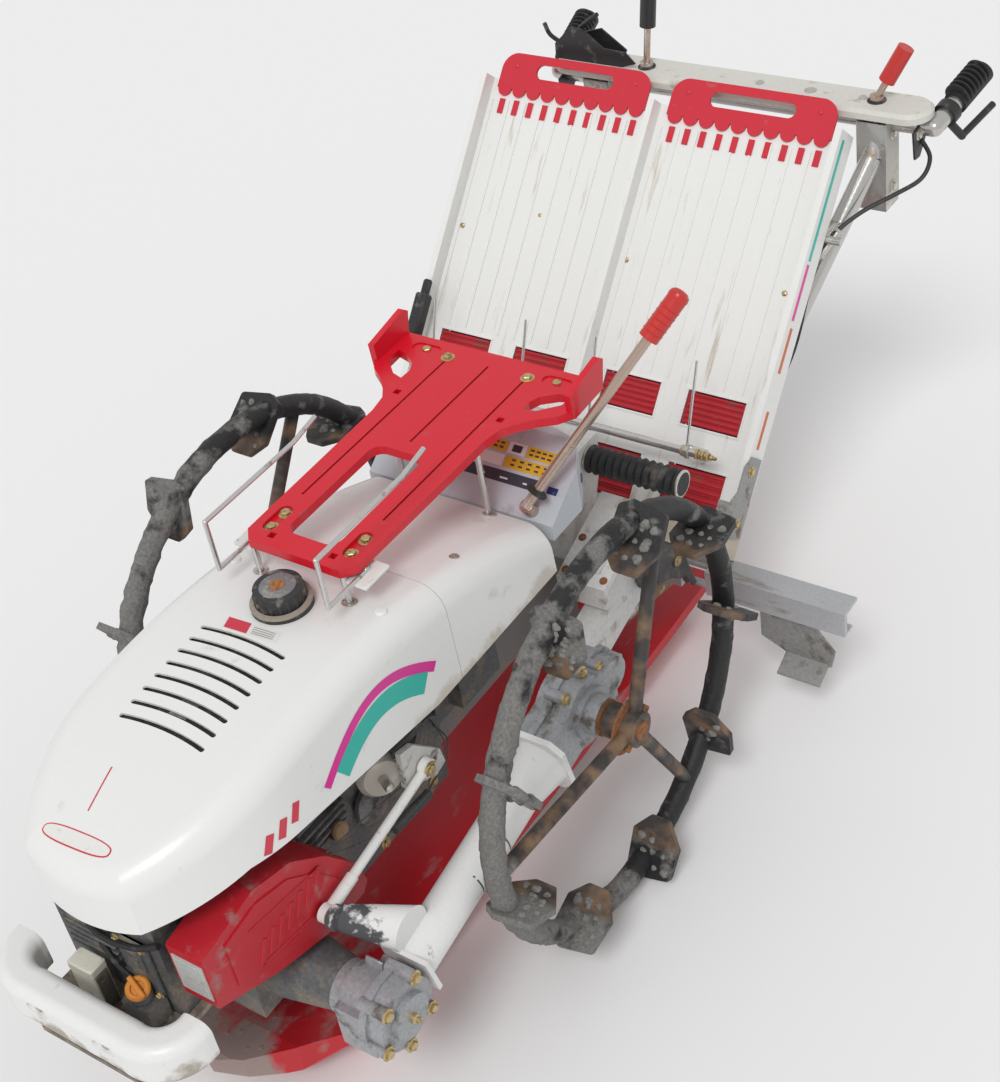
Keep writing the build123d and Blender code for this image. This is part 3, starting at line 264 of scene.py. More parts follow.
decal_red = film("decal red", (0.62, 0.03, 0.06), (0.5, 0.12, 0.12))
decal_pink = film("decal pink", (0.70, 0.02, 0.30), (0.6, 0.1, 0.3))
decal_teal = film("decal teal", (0.02, 0.46, 0.38), (0.1, 0.45, 0.38))
decal_pale = film("decal pale", (0.78, 0.77, 0.74), (0.6, 0.57, 0.5), share=0.25, size=80, rough=0.35)
decal_grey = film("decal grey", (0.33, 0.30, 0.29), (0.5, 0.47, 0.42), share=0.3, size=80, rough=0.5,
                  grain=0.1)
down = (0, 0, -1)
over_hood = 0.6
line_parts = 12
nose_line = [(-0.0241 + 0.0084 * t / line_parts, -0.6503 - 0.0511 * t / line_parts, over_hood)
             for t in range(line_parts + 1)]
piece("nose plate rim", [laid(hood, nose_oval(1, 1), down, 0.3)], decal_red)
piece("nose plate", [laid(hood, nose_oval(0.965, 0.84), down, 0.6)], decal_pale)
piece("nose line", [strip(hood, nose_line, 0.0016, down)], decal_red)
label = [(-0.044, -0.4275, over_hood), (0.031, -0.4225, over_hood), (0.036, -0.4385, over_hood),
         (-0.039, -0.4435, over_hood)]
label_band = [on_label(a, b) for a, b in ((0.03, 0), (0.45, 0), (0.45, 1), (0.03, 1))]
label_rows = [strip(hood, [on_label(a, b) for a in (0.52, 0.62, 0.72, 0.82, 0.92)], 0.0011, down, 0.7)
              for b in (0.25, 0.45, 0.65, 0.82)]
piece("filler label", [laid(hood, label, down, 0.3)], decal_pale)
piece("filler label band", [laid(hood, label_band, down, 0.6)], decal_red)
piece("filler label rows", label_rows, decal_grey)
for title, paint, slot, first, last, wide, drop in (
        ("upper flank band", decal_pink, "red_plastic", 0.0, 1.0, 0.013, 0.0),
        ("lower flank band", decal_teal, "hood", 0.13, 0.90, 0.027, 0.0235)):
    band = []
    for k in range(25):
        t = first + (last - first) * k / 24
        band.append((-0.518 + 0.205 * t, 0.462 + 0.062 * math.sin(math.pi * (0.06 + 0.86 * t)) - drop))
    piece(title, on_flanks(band, wide), paint)
for k in range(3):
    slash = [(-0.618 + 0.022 * k + 0.010 * t, 0.468 + 0.004 * k + 0.022 * t) for t in (0, 0.25, 0.5, 0.75, 1)]
    piece(f"flank slash {k + 1}", on_flanks(slash, 0.011), decal_red)

# Fuel cap, standing in a round hole of the hood
# Black plastic knob with flutes and a grey disc on top, its middle rusty, on a tan rubber collar
# Screws on, so it is turned by its flutes


def moved(shape, matrix):
    """The shape, placed by a matrix."""
    return [matrix @ Vector(spot) for spot in shape[0]], shape[1]


def turned(outline, sides=24, flutes=0, deep=0.0):
    """A lathe shape from (radius, height) pairs, its first and last ring closed."""
    points, faces = [], []
    for k in range(sides):
        angle = 2 * math.pi * k / sides
        for r, z in outline:
            near = r - (deep * (0.5 + 0.5 * math.cos(flutes * angle)) if flutes else 0)
            points.append((near * math.cos(angle), near * math.sin(angle), z))
    n = len(outline)
    for k in range(sides):
        a, b = k * n, (k + 1) % sides * n
        faces += [[a + j, b + j, b + j + 1, a + j + 1] for j in range(n - 1)]
    faces.append([k * n for k in range(sides)][::-1])
    faces.append([k * n + n - 1 for k in range(sides)])
    return points, faces


def on_cap(shape, sunk=0.0):
    """The shape, set on top of the fuel cap and sunk into it."""
    middle_x, middle_y = (cap_low.x + cap_high.x) / 2, (cap_low.y + cap_high.y) / 2
    return moved(shape, Matrix.Translation((middle_x, middle_y, cap_high.z - sunk)))


cap_low, cap_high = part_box("fuel_cap")
cap_black = finish("cap black", (0.035, 0.035, 0.037), (0.24, 0.22, 0.2), share=0.45, size=45, rough=0.5,
                   grain=0.4)
cap_grey = finish("cap disc grey", (0.20, 0.20, 0.21), (0.33, 0.31, 0.28), share=0.5, size=90, rough=0.6,
                  grain=0.4)
cap_rust = finish("cap rust", (0.42, 0.17, 0.05), (0.17, 0.08, 0.04), share=0.5, size=140, rough=0.8,
                  grain=0.6)
collar_tan = finish("collar tan", (0.36, 0.31, 0.25), (0.2, 0.18, 0.15), share=0.4, size=60, rough=0.75,
                    grain=0.3)
wear(cap_black, "fuel_cap")
fluted_rim = [(0.0292, -0.019), (0.0308, -0.017), (0.0308, -0.004), (0.0288, 0.0), (0.012, 0.0002)]
piece("cap flutes", [on_cap(turned(fluted_rim, 144, 18, 0.0022), 0.0002)], cap_black)
disc = turned([(0.0215, -0.001), (0.0215, 0.0006), (0.0205, 0.0011), (0.0095, 0.0013)], 48)
piece("cap disc", [on_cap(disc)], cap_grey)
hub = turned([(0.0095, 0.0008), (0.009, 0.0022), (0.0055, 0.0026), (0.0045, 0.0018), (0.0015, 0.0018)], 28)
piece("cap middle", [on_cap(hub)], cap_rust)
collar = turned([(0.0362, -0.0195), (0.0368, -0.0185), (0.0365, -0.0165), (0.031, -0.0155),
                 (0.0295, -0.0175)], 48)
piece("cap collar", [on_cap(collar, 0.0025)], collar_tan)

# Screws and stoppers of the hood
# Plated screws at the seam, white stoppers on both shoulders, plated washers round the rods
# The screws hold the two shells to the stays of the engine


def aimed(spot, way, spin=0.0):
    """A placing matrix: local Z looks along way, turned by spin degrees."""
    return (Matrix.Translation(spot) @ Vector(way).to_track_quat("Z", "Y").to_matrix().to_4x4()
            @ Matrix.Rotation(math.radians(spin), 4, "Z"))


def turned_at(spot, way, outline, sides=24, spin=0.0):
    """A lathe shape that stands on a spot and looks along way."""
    return moved(turned(outline, sides), aimed(spot, way, spin))


def bolt(r=0.006, tall=0.005):
    """A hexagon head on a washer."""
    head = turned([(r, 0.0), (r, tall * 0.8), (r * 0.82, tall), (r * 0.3, tall * 1.02)], 6)
    ring = turned([(r * 1.5, -0.0004), (r * 1.5, tall * 0.2), (r * 1.4, tall * 0.26), (r, tall * 0.26)], 18)
    return head[0] + ring[0], head[1] + [[k + len(head[0]) for k in side] for side in ring[1]]


def bolts(spots, r=0.006, tall=0.005):
    """Bolt heads at (place, way the head looks) pairs."""
    return [moved(bolt(r, tall), aimed(spot, way, 17 * k)) for k, (spot, way) in enumerate(spots)]


def seat_on(ground, spot, way):
    """Where a ray from the spot along way meets the ground, and which way the ground looks there."""
    return ground.ray_cast(Vector(spot), Vector(way))[:2]


plated = finish("plated steel", (0.62, 0.60, 0.55), (0.32, 0.25, 0.17), share=0.35, size=120, rough=0.3,
                dirt_rough=0.7, metal=0.85, grain=0.15)
brassy = finish("yellow plated steel", (0.60, 0.47, 0.24), (0.25, 0.18, 0.10), share=0.4, size=160,
                rough=0.35, dirt_rough=0.75, metal=0.8, grain=0.2)
shoulder_x, screw_y, stopper_y = 0.1085, -0.2035, -0.3415
screw_seats = [seat_on(hood, (s * shoulder_x, screw_y, 1), down) for s in (1, -1)]
stopper_seats = [seat_on(hood, (s * shoulder_x, stopper_y, 1), down) for s in (1, -1)]
stopper_outline = [(0.0075, -0.0008), (0.0078, 0.001), (0.006, 0.0026), (0.002, 0.003)]
piece("hood screws", bolts(screw_seats, 0.0042, 0.003), plated)
piece("hood stoppers", [turned_at(*seat, stopper_outline) for seat in stopper_seats], hood_white)
washer_outline = [(0.0095, -0.0006), (0.0095, 0.0008), (0.0085, 0.0013), (0.0046, 0.0013), (0.0046, 0.0002)]
rod_washers = []
for x in (0.066, -0.066):
    for y in (-0.3437, -0.0767):
        seat, facing = seat_on(hood, (x + 0.007, y, 1), down)
        rod_washers.append(turned_at(Vector((x, y, seat.z)), facing, washer_outline))
piece("rod washers", rod_washers, plated)

# Painted shade under the vents of the hood: a dark sheet that stands for the shade inside the hood
# Thin dark plate with faint lighter patches, so that the vent slots look dark instead of showing the lit
# inner walls
# Laid a few millimetres under the top of the hood, following its curve
vent_shade_paint = finish("painted vent shade", (0.028, 0.026, 0.024), (0.085, 0.07, 0.055), share=0.45, size=60,
                     rough=0.8, grain=0.4)
rows, columns = 23, 17
shade_sheet_sunk = 0.0068
shade_sheet, shade_sheet_faces = [], []
for j in range(rows):
    for k in range(columns):
        x, y = -0.088 + 0.176 * k / (columns - 1), -0.640 + 0.200 * j / (rows - 1)
        tops = [seat_on(hood, (x, y + dy, 1), down)[0] for dy in (-0.005, 0, 0.005)]
        shade_sheet.append(Vector((x, y, max(top.z for top in tops if top is not None) - shade_sheet_sunk)))
for j in range(rows - 1):
    ahead, behind = j * columns, (j + 1) * columns
    shade_sheet_faces += [[ahead + k, ahead + k + 1, behind + k + 1, behind + k] for k in range(columns - 1)]
# This sheet is painted shade, not a part of the machine
piece("painted shade under vents", [(shade_sheet, shade_sheet_faces)], vent_shade_paint)

# Bumper, a round-edged bar across the front
# White plastic, scuffed grey along its lower edge, with two sockets
# Screwed through the sockets to the feet of the base plate
bumper_white = finish("bumper white", (0.80, 0.80, 0.79), (0.42, 0.38, 0.32), share=0.22, size=16, rough=0.35,
                      dirt_rough=0.8, grain=0.06, fade=((0, 0, 1), 0.297, 0.335))
socket_grey = finish("socket grey", (0.50, 0.46, 0.40), (0.2, 0.17, 0.14), share=0.5, size=60, rough=0.8,
                     grain=0.4)
wear(bumper_white, "bumper")
bar_low, bar_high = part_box("bumper")
socket_y, socket_z = bar_low.y + 0.0052, (bar_low.z + bar_high.z) / 2 + 0.010
piece("bumper screws", bolts([((x, socket_y, socket_z), (0, -1, 0)) for x in (-0.05, 0.05)], 0.0045, 0.003),
      socket_grey)

# Base plate and the fittings on it, between the bumper and the engine
# Dirty grey steel; a cream box with a dark metal flank; a dark tap with an orange lever; earth on the plate
# The box and the tap are screwed to the base plate


def slab(low, high, round_off=0.001):
    """A plate or block with broken edges."""
    (x0, y0, z0), (x1, y1, z1) = low, high
    c = min(round_off, (x1 - x0) / 3, (y1 - y0) / 3, (z1 - z0) / 3)
    points = []
    for z, inner in ((z0, c), (z0 + c, 0), (z1 - c, 0), (z1, c)):
        for x, y in ((x0, y0), (x1, y0), (x1, y1), (x0, y1)):
            sx = inner if x == x0 else -inner
            sy = inner if y == y0 else -inner
            cx = c if x == x0 else -c
            cy = c if y == y0 else -c
            points += [(x + sx, y + cy + sy, z), (x + cx + sx, y + sy, z)]
    order = [0, 1, 3, 2, 4, 5, 7, 6]
    faces = []
    for j in range(3):
        for a, b in zip(order, order[1:] + order[:1]):
            faces.append([8 * j + a, 8 * j + b, 8 * j + 8 + b, 8 * j + 8 + a])
    faces.append(order[::-1])
    faces.append([24 + k for k in order])
    return points, faces


def spread(number, parts):
    """A share from 0 to 1 that looks random, the same in each run."""
    return number % parts / parts


base_dirt = finish("base plate dirt", (0.36, 0.31, 0.24), (0.21, 0.18, 0.15), share=0.6, size=24, rough=0.85,
                   grain=0.7)
cream = finish("cream plastic", (0.70, 0.68, 0.58), (0.42, 0.36, 0.27), share=0.3, size=30, rough=0.5,
               grain=0.12)
dark_metal = finish("dark metal", (0.17, 0.16, 0.14), (0.34, 0.28, 0.2), share=0.4, size=45, rough=0.5,
                    metal=0.5, grain=0.35)
cast_dark = finish("dark casting", (0.13, 0.135, 0.14), (0.26, 0.23, 0.19), share=0.55, size=26, rough=0.55,
                   dirt_rough=0.9, metal=0.25, grain=0.6)
orange = finish("orange plastic", (0.70, 0.26, 0.03), (0.42, 0.17, 0.05), share=0.3, size=60, rough=0.45,
                grain=0.1)
wear(base_dirt, "base_plate")
wear(cream, "front_box")
wear(cast_dark, "fuel_tap", "engine", "transmission")
box_low, box_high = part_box("front_box")
skin_x, field_x = box_high.x + 0.0022, box_high.x + 0.0034
flank = [slab((box_high.x, box_low.y + 0.002, box_low.z + 0.001),
              (skin_x, box_high.y - 0.002, box_high.z - 0.012))]
flank += [slab((skin_x, box_low.y + 0.006, z), (field_x, box_high.y - 0.006, z + 0.014))
          for z in (box_low.z + 0.008, box_low.z + 0.034)]
piece("box flank", flank, dark_metal)
rim = 0.0012
lid = slab((box_low.x - rim, box_low.y - rim, box_high.z - 0.012),
           (box_high.x + rim, box_high.y + rim, box_high.z + rim), 0.002)
piece("box lid", [lid], cream)
tap_low, tap_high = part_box("fuel_tap")
tap_seat = ((tap_low.x + tap_high.x) / 2, (tap_low.y + tap_high.y) / 2 - 0.001, tap_high.z - 0.0002)
ring = turned([(0.0135, 0.0), (0.0145, 0.002), (0.0145, 0.005), (0.0125, 0.007), (0.0085, 0.007),
               (0.0075, 0.0045)], 30)
wing = slab((-0.003, -0.015, 0.006), (0.003, 0.015, 0.0125), 0.0012)
piece("tap lever", [moved(shape, aimed(tap_seat, (0.25, -0.35, 1), 35)) for shape in (ring, wing)], orange)
plate_top = 0.2698
golden_turn = 2.399
clods = []
for k in range(26):
    a = golden_turn * k
    out = math.sqrt((k + 1) / 27)
    spot = (0.082 * math.cos(a) * out, -0.759 + 0.020 * math.sin(a) * out, plate_top)
    r = 0.003 + 0.004 * spread(k * 37, 11)
    outline = [(r, -0.001), (r * 1.05, r * 0.15), (r * 0.7, r * 0.45), (r * 0.15, r * 0.55)]
    lump = turned(outline, 9, 3, r * 0.3)
    clods.append(moved(lump, aimed(spot, (0.1 * math.cos(5 * a), 0.1 * math.sin(3 * a), 1), 40 * k)))
piece("clods on the plate", clods, base_dirt)

# Side cover, the red guard beside the engine, with the lamp in its front
# Moulded red plastic, scuffed grey on its flank, with a raised field of plain bars
# Clipped to a tab of the engine; the lens is ribbed clear plastic in a square hole
scuffed = finish("scuffed red", (0.50, 0.012, 0.024), (0.36, 0.17, 0.16), share=0.3, size=34, rough=0.38,
                 dirt_rough=0.8, grain=0.16)
lens_pale = finish("lens pale", (0.55, 0.55, 0.53), (0.36, 0.33, 0.28), share=0.4, size=50, rough=0.18,
                   dirt_rough=0.5, grain=0.12)
wear(scuffed, "side_cover")
wear(lens_pale, "lamp_lens")
cover_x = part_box("side_cover")[1].x
bars = []
for k in range(7):
    bar = slab((-0.0008, -0.0038, 0), (0.0011, 0.0038, 0.034), 0.0008)
    foot = Matrix.Translation((cover_x, -0.664 + 0.0165 * k, 0.327 + 0.0022 * k))
    bars.append(moved(bar, foot @ Matrix.Rotation(math.radians(-24), 4, "X")))
for z in (0.325, 0.3845):
    long_bar = slab((-0.0008, -0.058, -0.0016), (0.0011, 0.058, 0.0016), 0.0008)
    middle = Matrix.Translation((cover_x, -0.610, z - 0.006))
    bars.append(moved(long_bar, middle @ Matrix.Rotation(math.radians(-9), 4, "X")))
piece("raised bars", bars, scuffed)
lens_low, lens_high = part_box("lamp_lens")
rib_pitch = 0.0033
ribs = [slab((lens_low.x + 0.0022 + rib_pitch * k, lens_low.y - 0.0011, lens_low.z + 0.003),
             (lens_low.x + 0.0044 + rib_pitch * k, lens_low.y + 0.0006, lens_high.z - 0.003), 0.0006)
        for k in range(12)]
piece("lens ribs", ribs, lens_pale)

# Engine bay under the hood: gearbox ribs and bosses, fins of the block, hoses, tank corner, spring and wires
# Greasy grey aluminium and iron, black rubber hoses, a tan dust cap, a white tank corner, grey spring steel
# Cast in place or clipped on; the spring and the wires run back to the lift bracket


def tube(line, r, sides=10):
    """A round bar along a line of points."""
    line = [Vector(spot) for spot in line]
    points, faces = [], []
    side = None
    for k, spot in enumerate(line):
        along = (line[min(k + 1, len(line) - 1)] - line[max(k - 1, 0)]).normalized()
        side = (along.orthogonal() if side is None else side - side.dot(along) * along).normalized()
        over = along.cross(side)
        for j in range(sides):
            a = 2 * math.pi * j / sides
            points.append(spot + r * (math.cos(a) * side + math.sin(a) * over))
    for k in range(len(line) - 1):
        here, there = k * sides, (k + 1) * sides
        faces += [[here + j, here + (j + 1) % sides, there + (j + 1) % sides, there + j]
                  for j in range(sides)]
    faces.append(list(range(sides))[::-1])
    faces.append([(len(line) - 1) * sides + j for j in range(sides)])
    return points, faces


def curved(*stops, steps=8):
    """A smooth line through these points."""
    stops = [Vector(spot) for spot in stops]
    padded = [2 * stops[0] - stops[1], *stops, 2 * stops[-1] - stops[-2]]
    line = []
    for k in range(1, len(padded) - 2):
        a, b, c, d = padded[k - 1:k + 3]
        for j in range(steps):
            t = j / steps
            line.append(0.5 * (2 * b + (c - a) * t + (2 * a - 5 * b + 4 * c - d) * t * t
                               + (3 * b - a - 3 * c + d) * t ** 3))
    return [*line, stops[-1]]


rubber_black = finish("hose black", (0.018, 0.018, 0.02), (0.12, 0.11, 0.1), share=0.4, size=40, rough=0.6,
                      grain=0.3)
cast_grey = finish("grey casting", (0.25, 0.255, 0.26), (0.15, 0.13, 0.11), share=0.5, size=28, rough=0.5,
                   dirt_rough=0.9, metal=0.3, grain=0.5)
tan_cap = finish("tan dust cap", (0.42, 0.29, 0.16), (0.2, 0.13, 0.08), share=0.3, size=80, rough=0.7,
                 grain=0.3)
spring_grey = finish("spring grey", (0.16, 0.17, 0.165), (0.1, 0.09, 0.08), share=0.4, size=60, rough=0.45,
                     metal=0.6, grain=0.2)
outward = (1, 0, 0)
forward = (0, -1, 0)
gearbox_x = 0.046
rib_rows = ((0.290, 0.006), (0.302, 0.009), (0.314, 0.009), (0.326, 0.009), (0.338, 0.006))
gearbox_ribs = [slab((gearbox_x, -0.512, z), (gearbox_x + deep + 0.008, -0.43, z + 0.004))
                for z, deep in rib_rows]
piece("gearbox ribs", gearbox_ribs, cast_grey)
big_boss = turned([(0.030, 0.0), (0.034, 0.004), (0.034, 0.010), (0.028, 0.013), (0.012, 0.014),
                   (0.010, 0.019)], 30, 6, 0.002)
small_boss = turned([(0.018, 0.0), (0.021, 0.003), (0.021, 0.012), (0.012, 0.016), (0.006, 0.017)], 26)
bosses = [moved(big_boss, aimed((gearbox_x, -0.376, 0.268), outward)),
          moved(small_boss, aimed((gearbox_x, -0.335, 0.318), outward))]
piece("gearbox bosses", bosses, cast_grey)
gearbox_bolts = [((0.0465, y, z), outward) for y, z in (
    (-0.500, 0.325), (-0.462, 0.331), (-0.418, 0.331), (-0.375, 0.331), (-0.300, 0.331), (-0.262, 0.325),
    (-0.262, 0.186), (-0.31, 0.178), (-0.37, 0.178))]
piece("gearbox bolts", bolts(gearbox_bolts, 0.0055, 0.005), brassy)
dust_outline = [(0.0105, -0.004), (0.012, 0.002), (0.0125, 0.010), (0.010, 0.013), (0.004, 0.014)]
piece("dust cap", [turned_at((0.0585, -0.4525, 0.296), (1, -0.1, 0.15), dust_outline, 26)], tan_cap)
hose_runs = (
    (0.006, ((0.046, -0.47, 0.346), (0.066, -0.43, 0.372), (0.062, -0.36, 0.384), (0.044, -0.31, 0.392))),
    (0.0045, ((0.078, -0.573, 0.41), (0.085, -0.52, 0.414), (0.072, -0.46, 0.388), (0.060, -0.42, 0.345))),
    (0.004, ((-0.06, -0.735, 0.40), (-0.02, -0.745, 0.385), (0.03, -0.742, 0.388), (0.066, -0.735, 0.404))),
    (0.0035, ((-0.04, -0.736, 0.35), (-0.012, -0.744, 0.335), (0.012, -0.744, 0.318),
              (0.021, -0.742, 0.300))))
piece("hoses", [tube(curved(*run), r) for r, run in hose_runs], rubber_black)
block_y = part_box("engine")[0].y
fins = []
for k in range(9):
    z = 0.318 + 0.0105 * k
    fins.append(slab((-0.096, block_y - 0.0048, z), (-0.016, block_y + 0.0006, z + 0.0042), 0.001))
fins.append(slab((-0.004, block_y - 0.007, 0.300), (0.042, block_y + 0.0006, 0.392), 0.003))
fins.append(slab((0.004, block_y - 0.010, 0.344), (0.034, block_y - 0.006, 0.384), 0.003))
piece("engine fins", fins, cast_dark)
engine_bolts = [((x, block_y - 0.007, z), forward) for x in (0.001, 0.037) for z in (0.306, 0.386)]
piece("engine bolts", bolts(engine_bolts, 0.0045, 0.0045), brassy)
tank_way = (0.9, -0.5, 0.12)
tank_outline = [(0.020, 0.0), (0.027, 0.004), (0.030, 0.030), (0.030, 0.058), (0.024, 0.066), (0.008, 0.067)]
spout_outline = [(0.006, 0.0), (0.0062, 0.018), (0.0045, 0.021), (0.002, 0.0213)]
piece("tank corner", [turned_at((0.052, -0.372, 0.352), tank_way, tank_outline, 28)], hood_white)
piece("tank spout", [turned_at((0.1108, -0.4052, 0.3606), tank_way, spout_outline, 16)], plated)
spring_x, wire_r = 0.118, 0.0011
coil_outline = [(0.0060, -0.0009), (0.0071, -0.0004), (0.0071, 0.0004), (0.0060, 0.0009)]
spring_front, spring_rear = Vector((spring_x, -0.415, 0.286)), Vector((spring_x, -0.346, 0.280))
spring_line = curved((spring_x, -0.416, 0.286), (spring_x, -0.38, 0.2832), (spring_x, -0.345, 0.280),
                     steps=4)
front_hook = curved((spring_x, -0.417, 0.286), (spring_x, -0.425, 0.291), (0.1165, -0.520, 0.350), steps=5)
rear_hook = curved((spring_x, -0.345, 0.280), (0.116, -0.335, 0.285), (0.112, -0.290, 0.302),
                   (0.052, -0.262, 0.330), steps=6)
spring = [tube(spring_line, 0.0062, 16)]
spring += [turned_at(spring_front.lerp(spring_rear, k / 27), (0, 1, -0.085), coil_outline, 16)
           for k in range(28)]
spring += [tube(front_hook, wire_r, 6), tube(rear_hook, wire_r, 6)]
piece("tube spring", spring, spring_grey)
lift_wire = curved((0.112, -0.520, 0.352), (0.112, -0.40, 0.329), (0.1115, -0.2877, 0.305),
                   (0.05, -0.262, 0.31), steps=6)
piece("lift wire", [tube(lift_wire, 0.0010, 6)], spring_grey)

# Swing legs, the tubes that carry the wheels behind the front gear cases, with the links that lift them
# White paint on steel, worn to black where the arm meets the link; bare slanted marks on the outer sides
# Bolted to the gear case in front and to the wheel case behind; the links are pinned with split pins


def side_slab(s, low, high, round_off=0.001):
    """A slab given for the machine's left side, and its mirror image where s is -1."""
    x0, x1 = sorted((s * low[0], s * high[0]))
    return slab((x0, *low[1:]), (x1, *high[1:]), round_off)


leg_white = finish("leg white", (0.78, 0.78, 0.77), (0.075, 0.075, 0.08), share=0.08, size=55, rough=0.32,
                   dirt_rough=0.75, grain=0.06, near=((0.150, -0.562, 0.282), 0.068))
link_white = finish("link white", (0.76, 0.76, 0.74), (0.16, 0.13, 0.10), share=0.16, size=60, rough=0.35,
                    dirt_rough=0.8, grain=0.08)
mark_dark = film("mark dark", (0.08, 0.08, 0.085), (0.3, 0.3, 0.3), share=0.2, size=90, rough=0.5, grain=0.1)
hinge_dark = finish("hinge dark", (0.09, 0.085, 0.08), (0.3, 0.24, 0.18), share=0.3, size=60, rough=0.6,
                    metal=0.4, grain=0.4)
bracket_white = finish("bracket white", (0.60, 0.59, 0.56), (0.12, 0.10, 0.08), share=0.35, size=40,
                       rough=0.5, grain=0.2)
wear(leg_white, "swing_legs")
wear(link_white, "lift_links")
wear(bracket_white, "lift_bracket")
leg_skin = skin_of("swing_legs")
pin_head = [(0.0085, 0.0), (0.0085, 0.003), (0.0060, 0.0045), (0.002, 0.0048)]
marks, pins, hinges = [], [], []
for s in (1, -1):
    for k in range(3):
        y, z = -0.420 + 0.030 * k, 0.2555 + 0.0063 * k
        mark = [(s * 0.30, y + 0.004 * t - 0.002, z + 0.022 - 0.034 * t) for t in (0, 0.2, 0.4, 0.6, 0.8, 1)]
        marks.append(strip(leg_skin, mark, 0.0022, (-s, 0, 0), 0.35))
    for y, z in ((-0.5667, 0.312), (-0.3607, 0.352)):
        pins.append(moved(bolt(0.0068, 0.006), aimed((s * 0.1445, y, z), (s, 0, 0), 20)))
        pins.append(turned_at((s * 0.1355, y, z), (-s, 0, 0), pin_head, 20))
        split_pin = curved((s * 0.1462, y - 0.009, z + 0.004), (s * 0.1480, y, z + 0.0085),
                           (s * 0.1462, y + 0.010, z + 0.003), steps=5)
        pins.append(tube(split_pin, wire_r, 6))
    hinges.append(side_slab(s, (0.1185, -0.392, 0.386), (0.1225, -0.332, 0.401), 0.001))
    hinges.append(side_slab(s, (0.062, -0.392, 0.3945), (0.1245, -0.350, 0.400), 0.0015))
piece("leg marks", marks, mark_dark)
piece("link pins", pins, brassy)
piece("hinge plates", hinges, hinge_dark)

# Front gear cases and wheel cases, with a seal ring where each wheel's axle comes out
# Raw cast aluminium, greasy in the corners, with yellow plated bolts; the seal rings are rusty
# Each case is two halves bolted face to face


def bolt_circle(s, x, middle, radius, angles, r, tall):
    """Bolts round the middle of a case, on its outer face."""
    heads = []
    for angle in angles:
        a = math.radians(angle)
        spot = (s * x, middle[0] + radius * math.cos(a), middle[1] + radius * math.sin(a))
        heads.append(moved(bolt(r, tall), aimed(spot, (s, 0, 0), angle)))
    return heads


alloy = finish("cast alloy", (0.40, 0.41, 0.43), (0.17, 0.155, 0.13), share=0.38, size=26, rough=0.42,
               dirt_rough=0.85, metal=0.35, grain=0.45)
rust = finish("rust", (0.30, 0.12, 0.045), (0.12, 0.07, 0.04), share=0.5, size=120, rough=0.85, grain=0.6)
wear(alloy, "gear_cases", "wheel_cases")
case_y, case_z = -0.5857, 0.216
axle_y, axle_z = -0.1607, 0.305
grease_nipple = [(0.0062, 0), (0.0062, 0.005), (0.004, 0.0065), (0.004, 0.011), (0.002, 0.0118)]
seal_outline = [(0.0155, 0.0), (0.024, 0.0002), (0.0245, 0.002), (0.020, 0.0045), (0.0155, 0.0045)]
heads, cast_ribs, seals = [], [], []
for s in (1, -1):
    heads += bolt_circle(s, 0.248, (case_y, case_z), 0.047, (60, 130, 200, 260, 320), 0.0062, 0.006)
    heads.append(turned_at((s * 0.2535, case_y, case_z), (s, 0, 0), grease_nipple, 14))
    heads += bolt_circle(s, 0.228, (axle_y, axle_z), 0.055, (35, 80, 125, 235, 280, 325), 0.0058, 0.0055)
    for angle in (20, 65, 110, 155):
        rib = slab((-0.012, 0.030, -0.0016), (0.012, 0.0492, 0.0016), 0.0008)
        swing = Matrix.Rotation(math.radians(angle) - math.pi / 2, 4, "X")
        cast_ribs.append(moved(rib, Matrix.Translation((s * 0.194, case_y, case_z)) @ swing))
    seals.append(turned_at((s * 0.2618, axle_y, axle_z), (s, 0, 0), seal_outline, 32))
piece("case bolts", heads, brassy)
piece("case ribs", cast_ribs, alloy)
piece("shaft seals", seals, rust)

# Drive wheels: a rubber-coated tube ring with nine slanted lugs on three spokes
# Black rubber, lumpy with dried grey mud at the front and on the lugs; spokes rusty towards the hub
# The hub is pinned on the axle, with a thin guard plate on it


def recoloured(paint, share, colour):
    """The paint takes this colour where the share is one. The colour is a value or an output."""
    base = paint.node_tree.nodes["Principled BSDF"].inputs["Base Color"]
    before = base.links[0].from_socket
    mix = add_node(paint, "Mix", {"Factor": share, 6: before, 7: colour}, data_type="RGBA")
    paint.node_tree.links.new(mix.outputs[2], base)


def wheel_paint(name):
    """Mud over rubber, and rust inside the ring."""
    paint = finish(name, (0.016, 0.016, 0.018), (0.21, 0.205, 0.195), share=0.40, size=26, rough=0.55,
                   dirt_rough=0.95, grain=0.75, grain_size=260, fade=((0, 1, 0), -0.46, -0.10))
    place = add_node(paint, "TexCoord", {}).outputs["Object"]
    flat = add_node(paint, "VectorMath", {0: place, 1: (0, 1, 1)}, operation="MULTIPLY").outputs["Vector"]
    off = add_node(paint, "VectorMath", {0: flat, 1: (0, axle_y, axle_z)}, operation="DISTANCE")
    inside = add_node(paint, "MapRange", {"Value": off.outputs["Value"], "From Min": 0.251,
                                          "From Max": 0.240})
    cloud = add_node(paint, "TexNoise", {"Vector": place, "Scale": 30, "Detail": 6})
    ramp = add_node(paint, "ValToRGB", {"Fac": cloud.outputs["Fac"]})
    dark, rusty = ramp.color_ramp.elements
    dark.position, dark.color = 0.42, (0.045, 0.04, 0.038, 1)
    rusty.position, rusty.color = 0.62, (0.20, 0.125, 0.075, 1)
    recoloured(paint, inside.outputs["Result"], ramp.outputs["Color"])
    return paint


def to_front(y, start):
    """Grows from 0 at start to 1 at 250 mm ahead of it."""
    return max(0.0, min(1.0, (start - y) / 0.25))


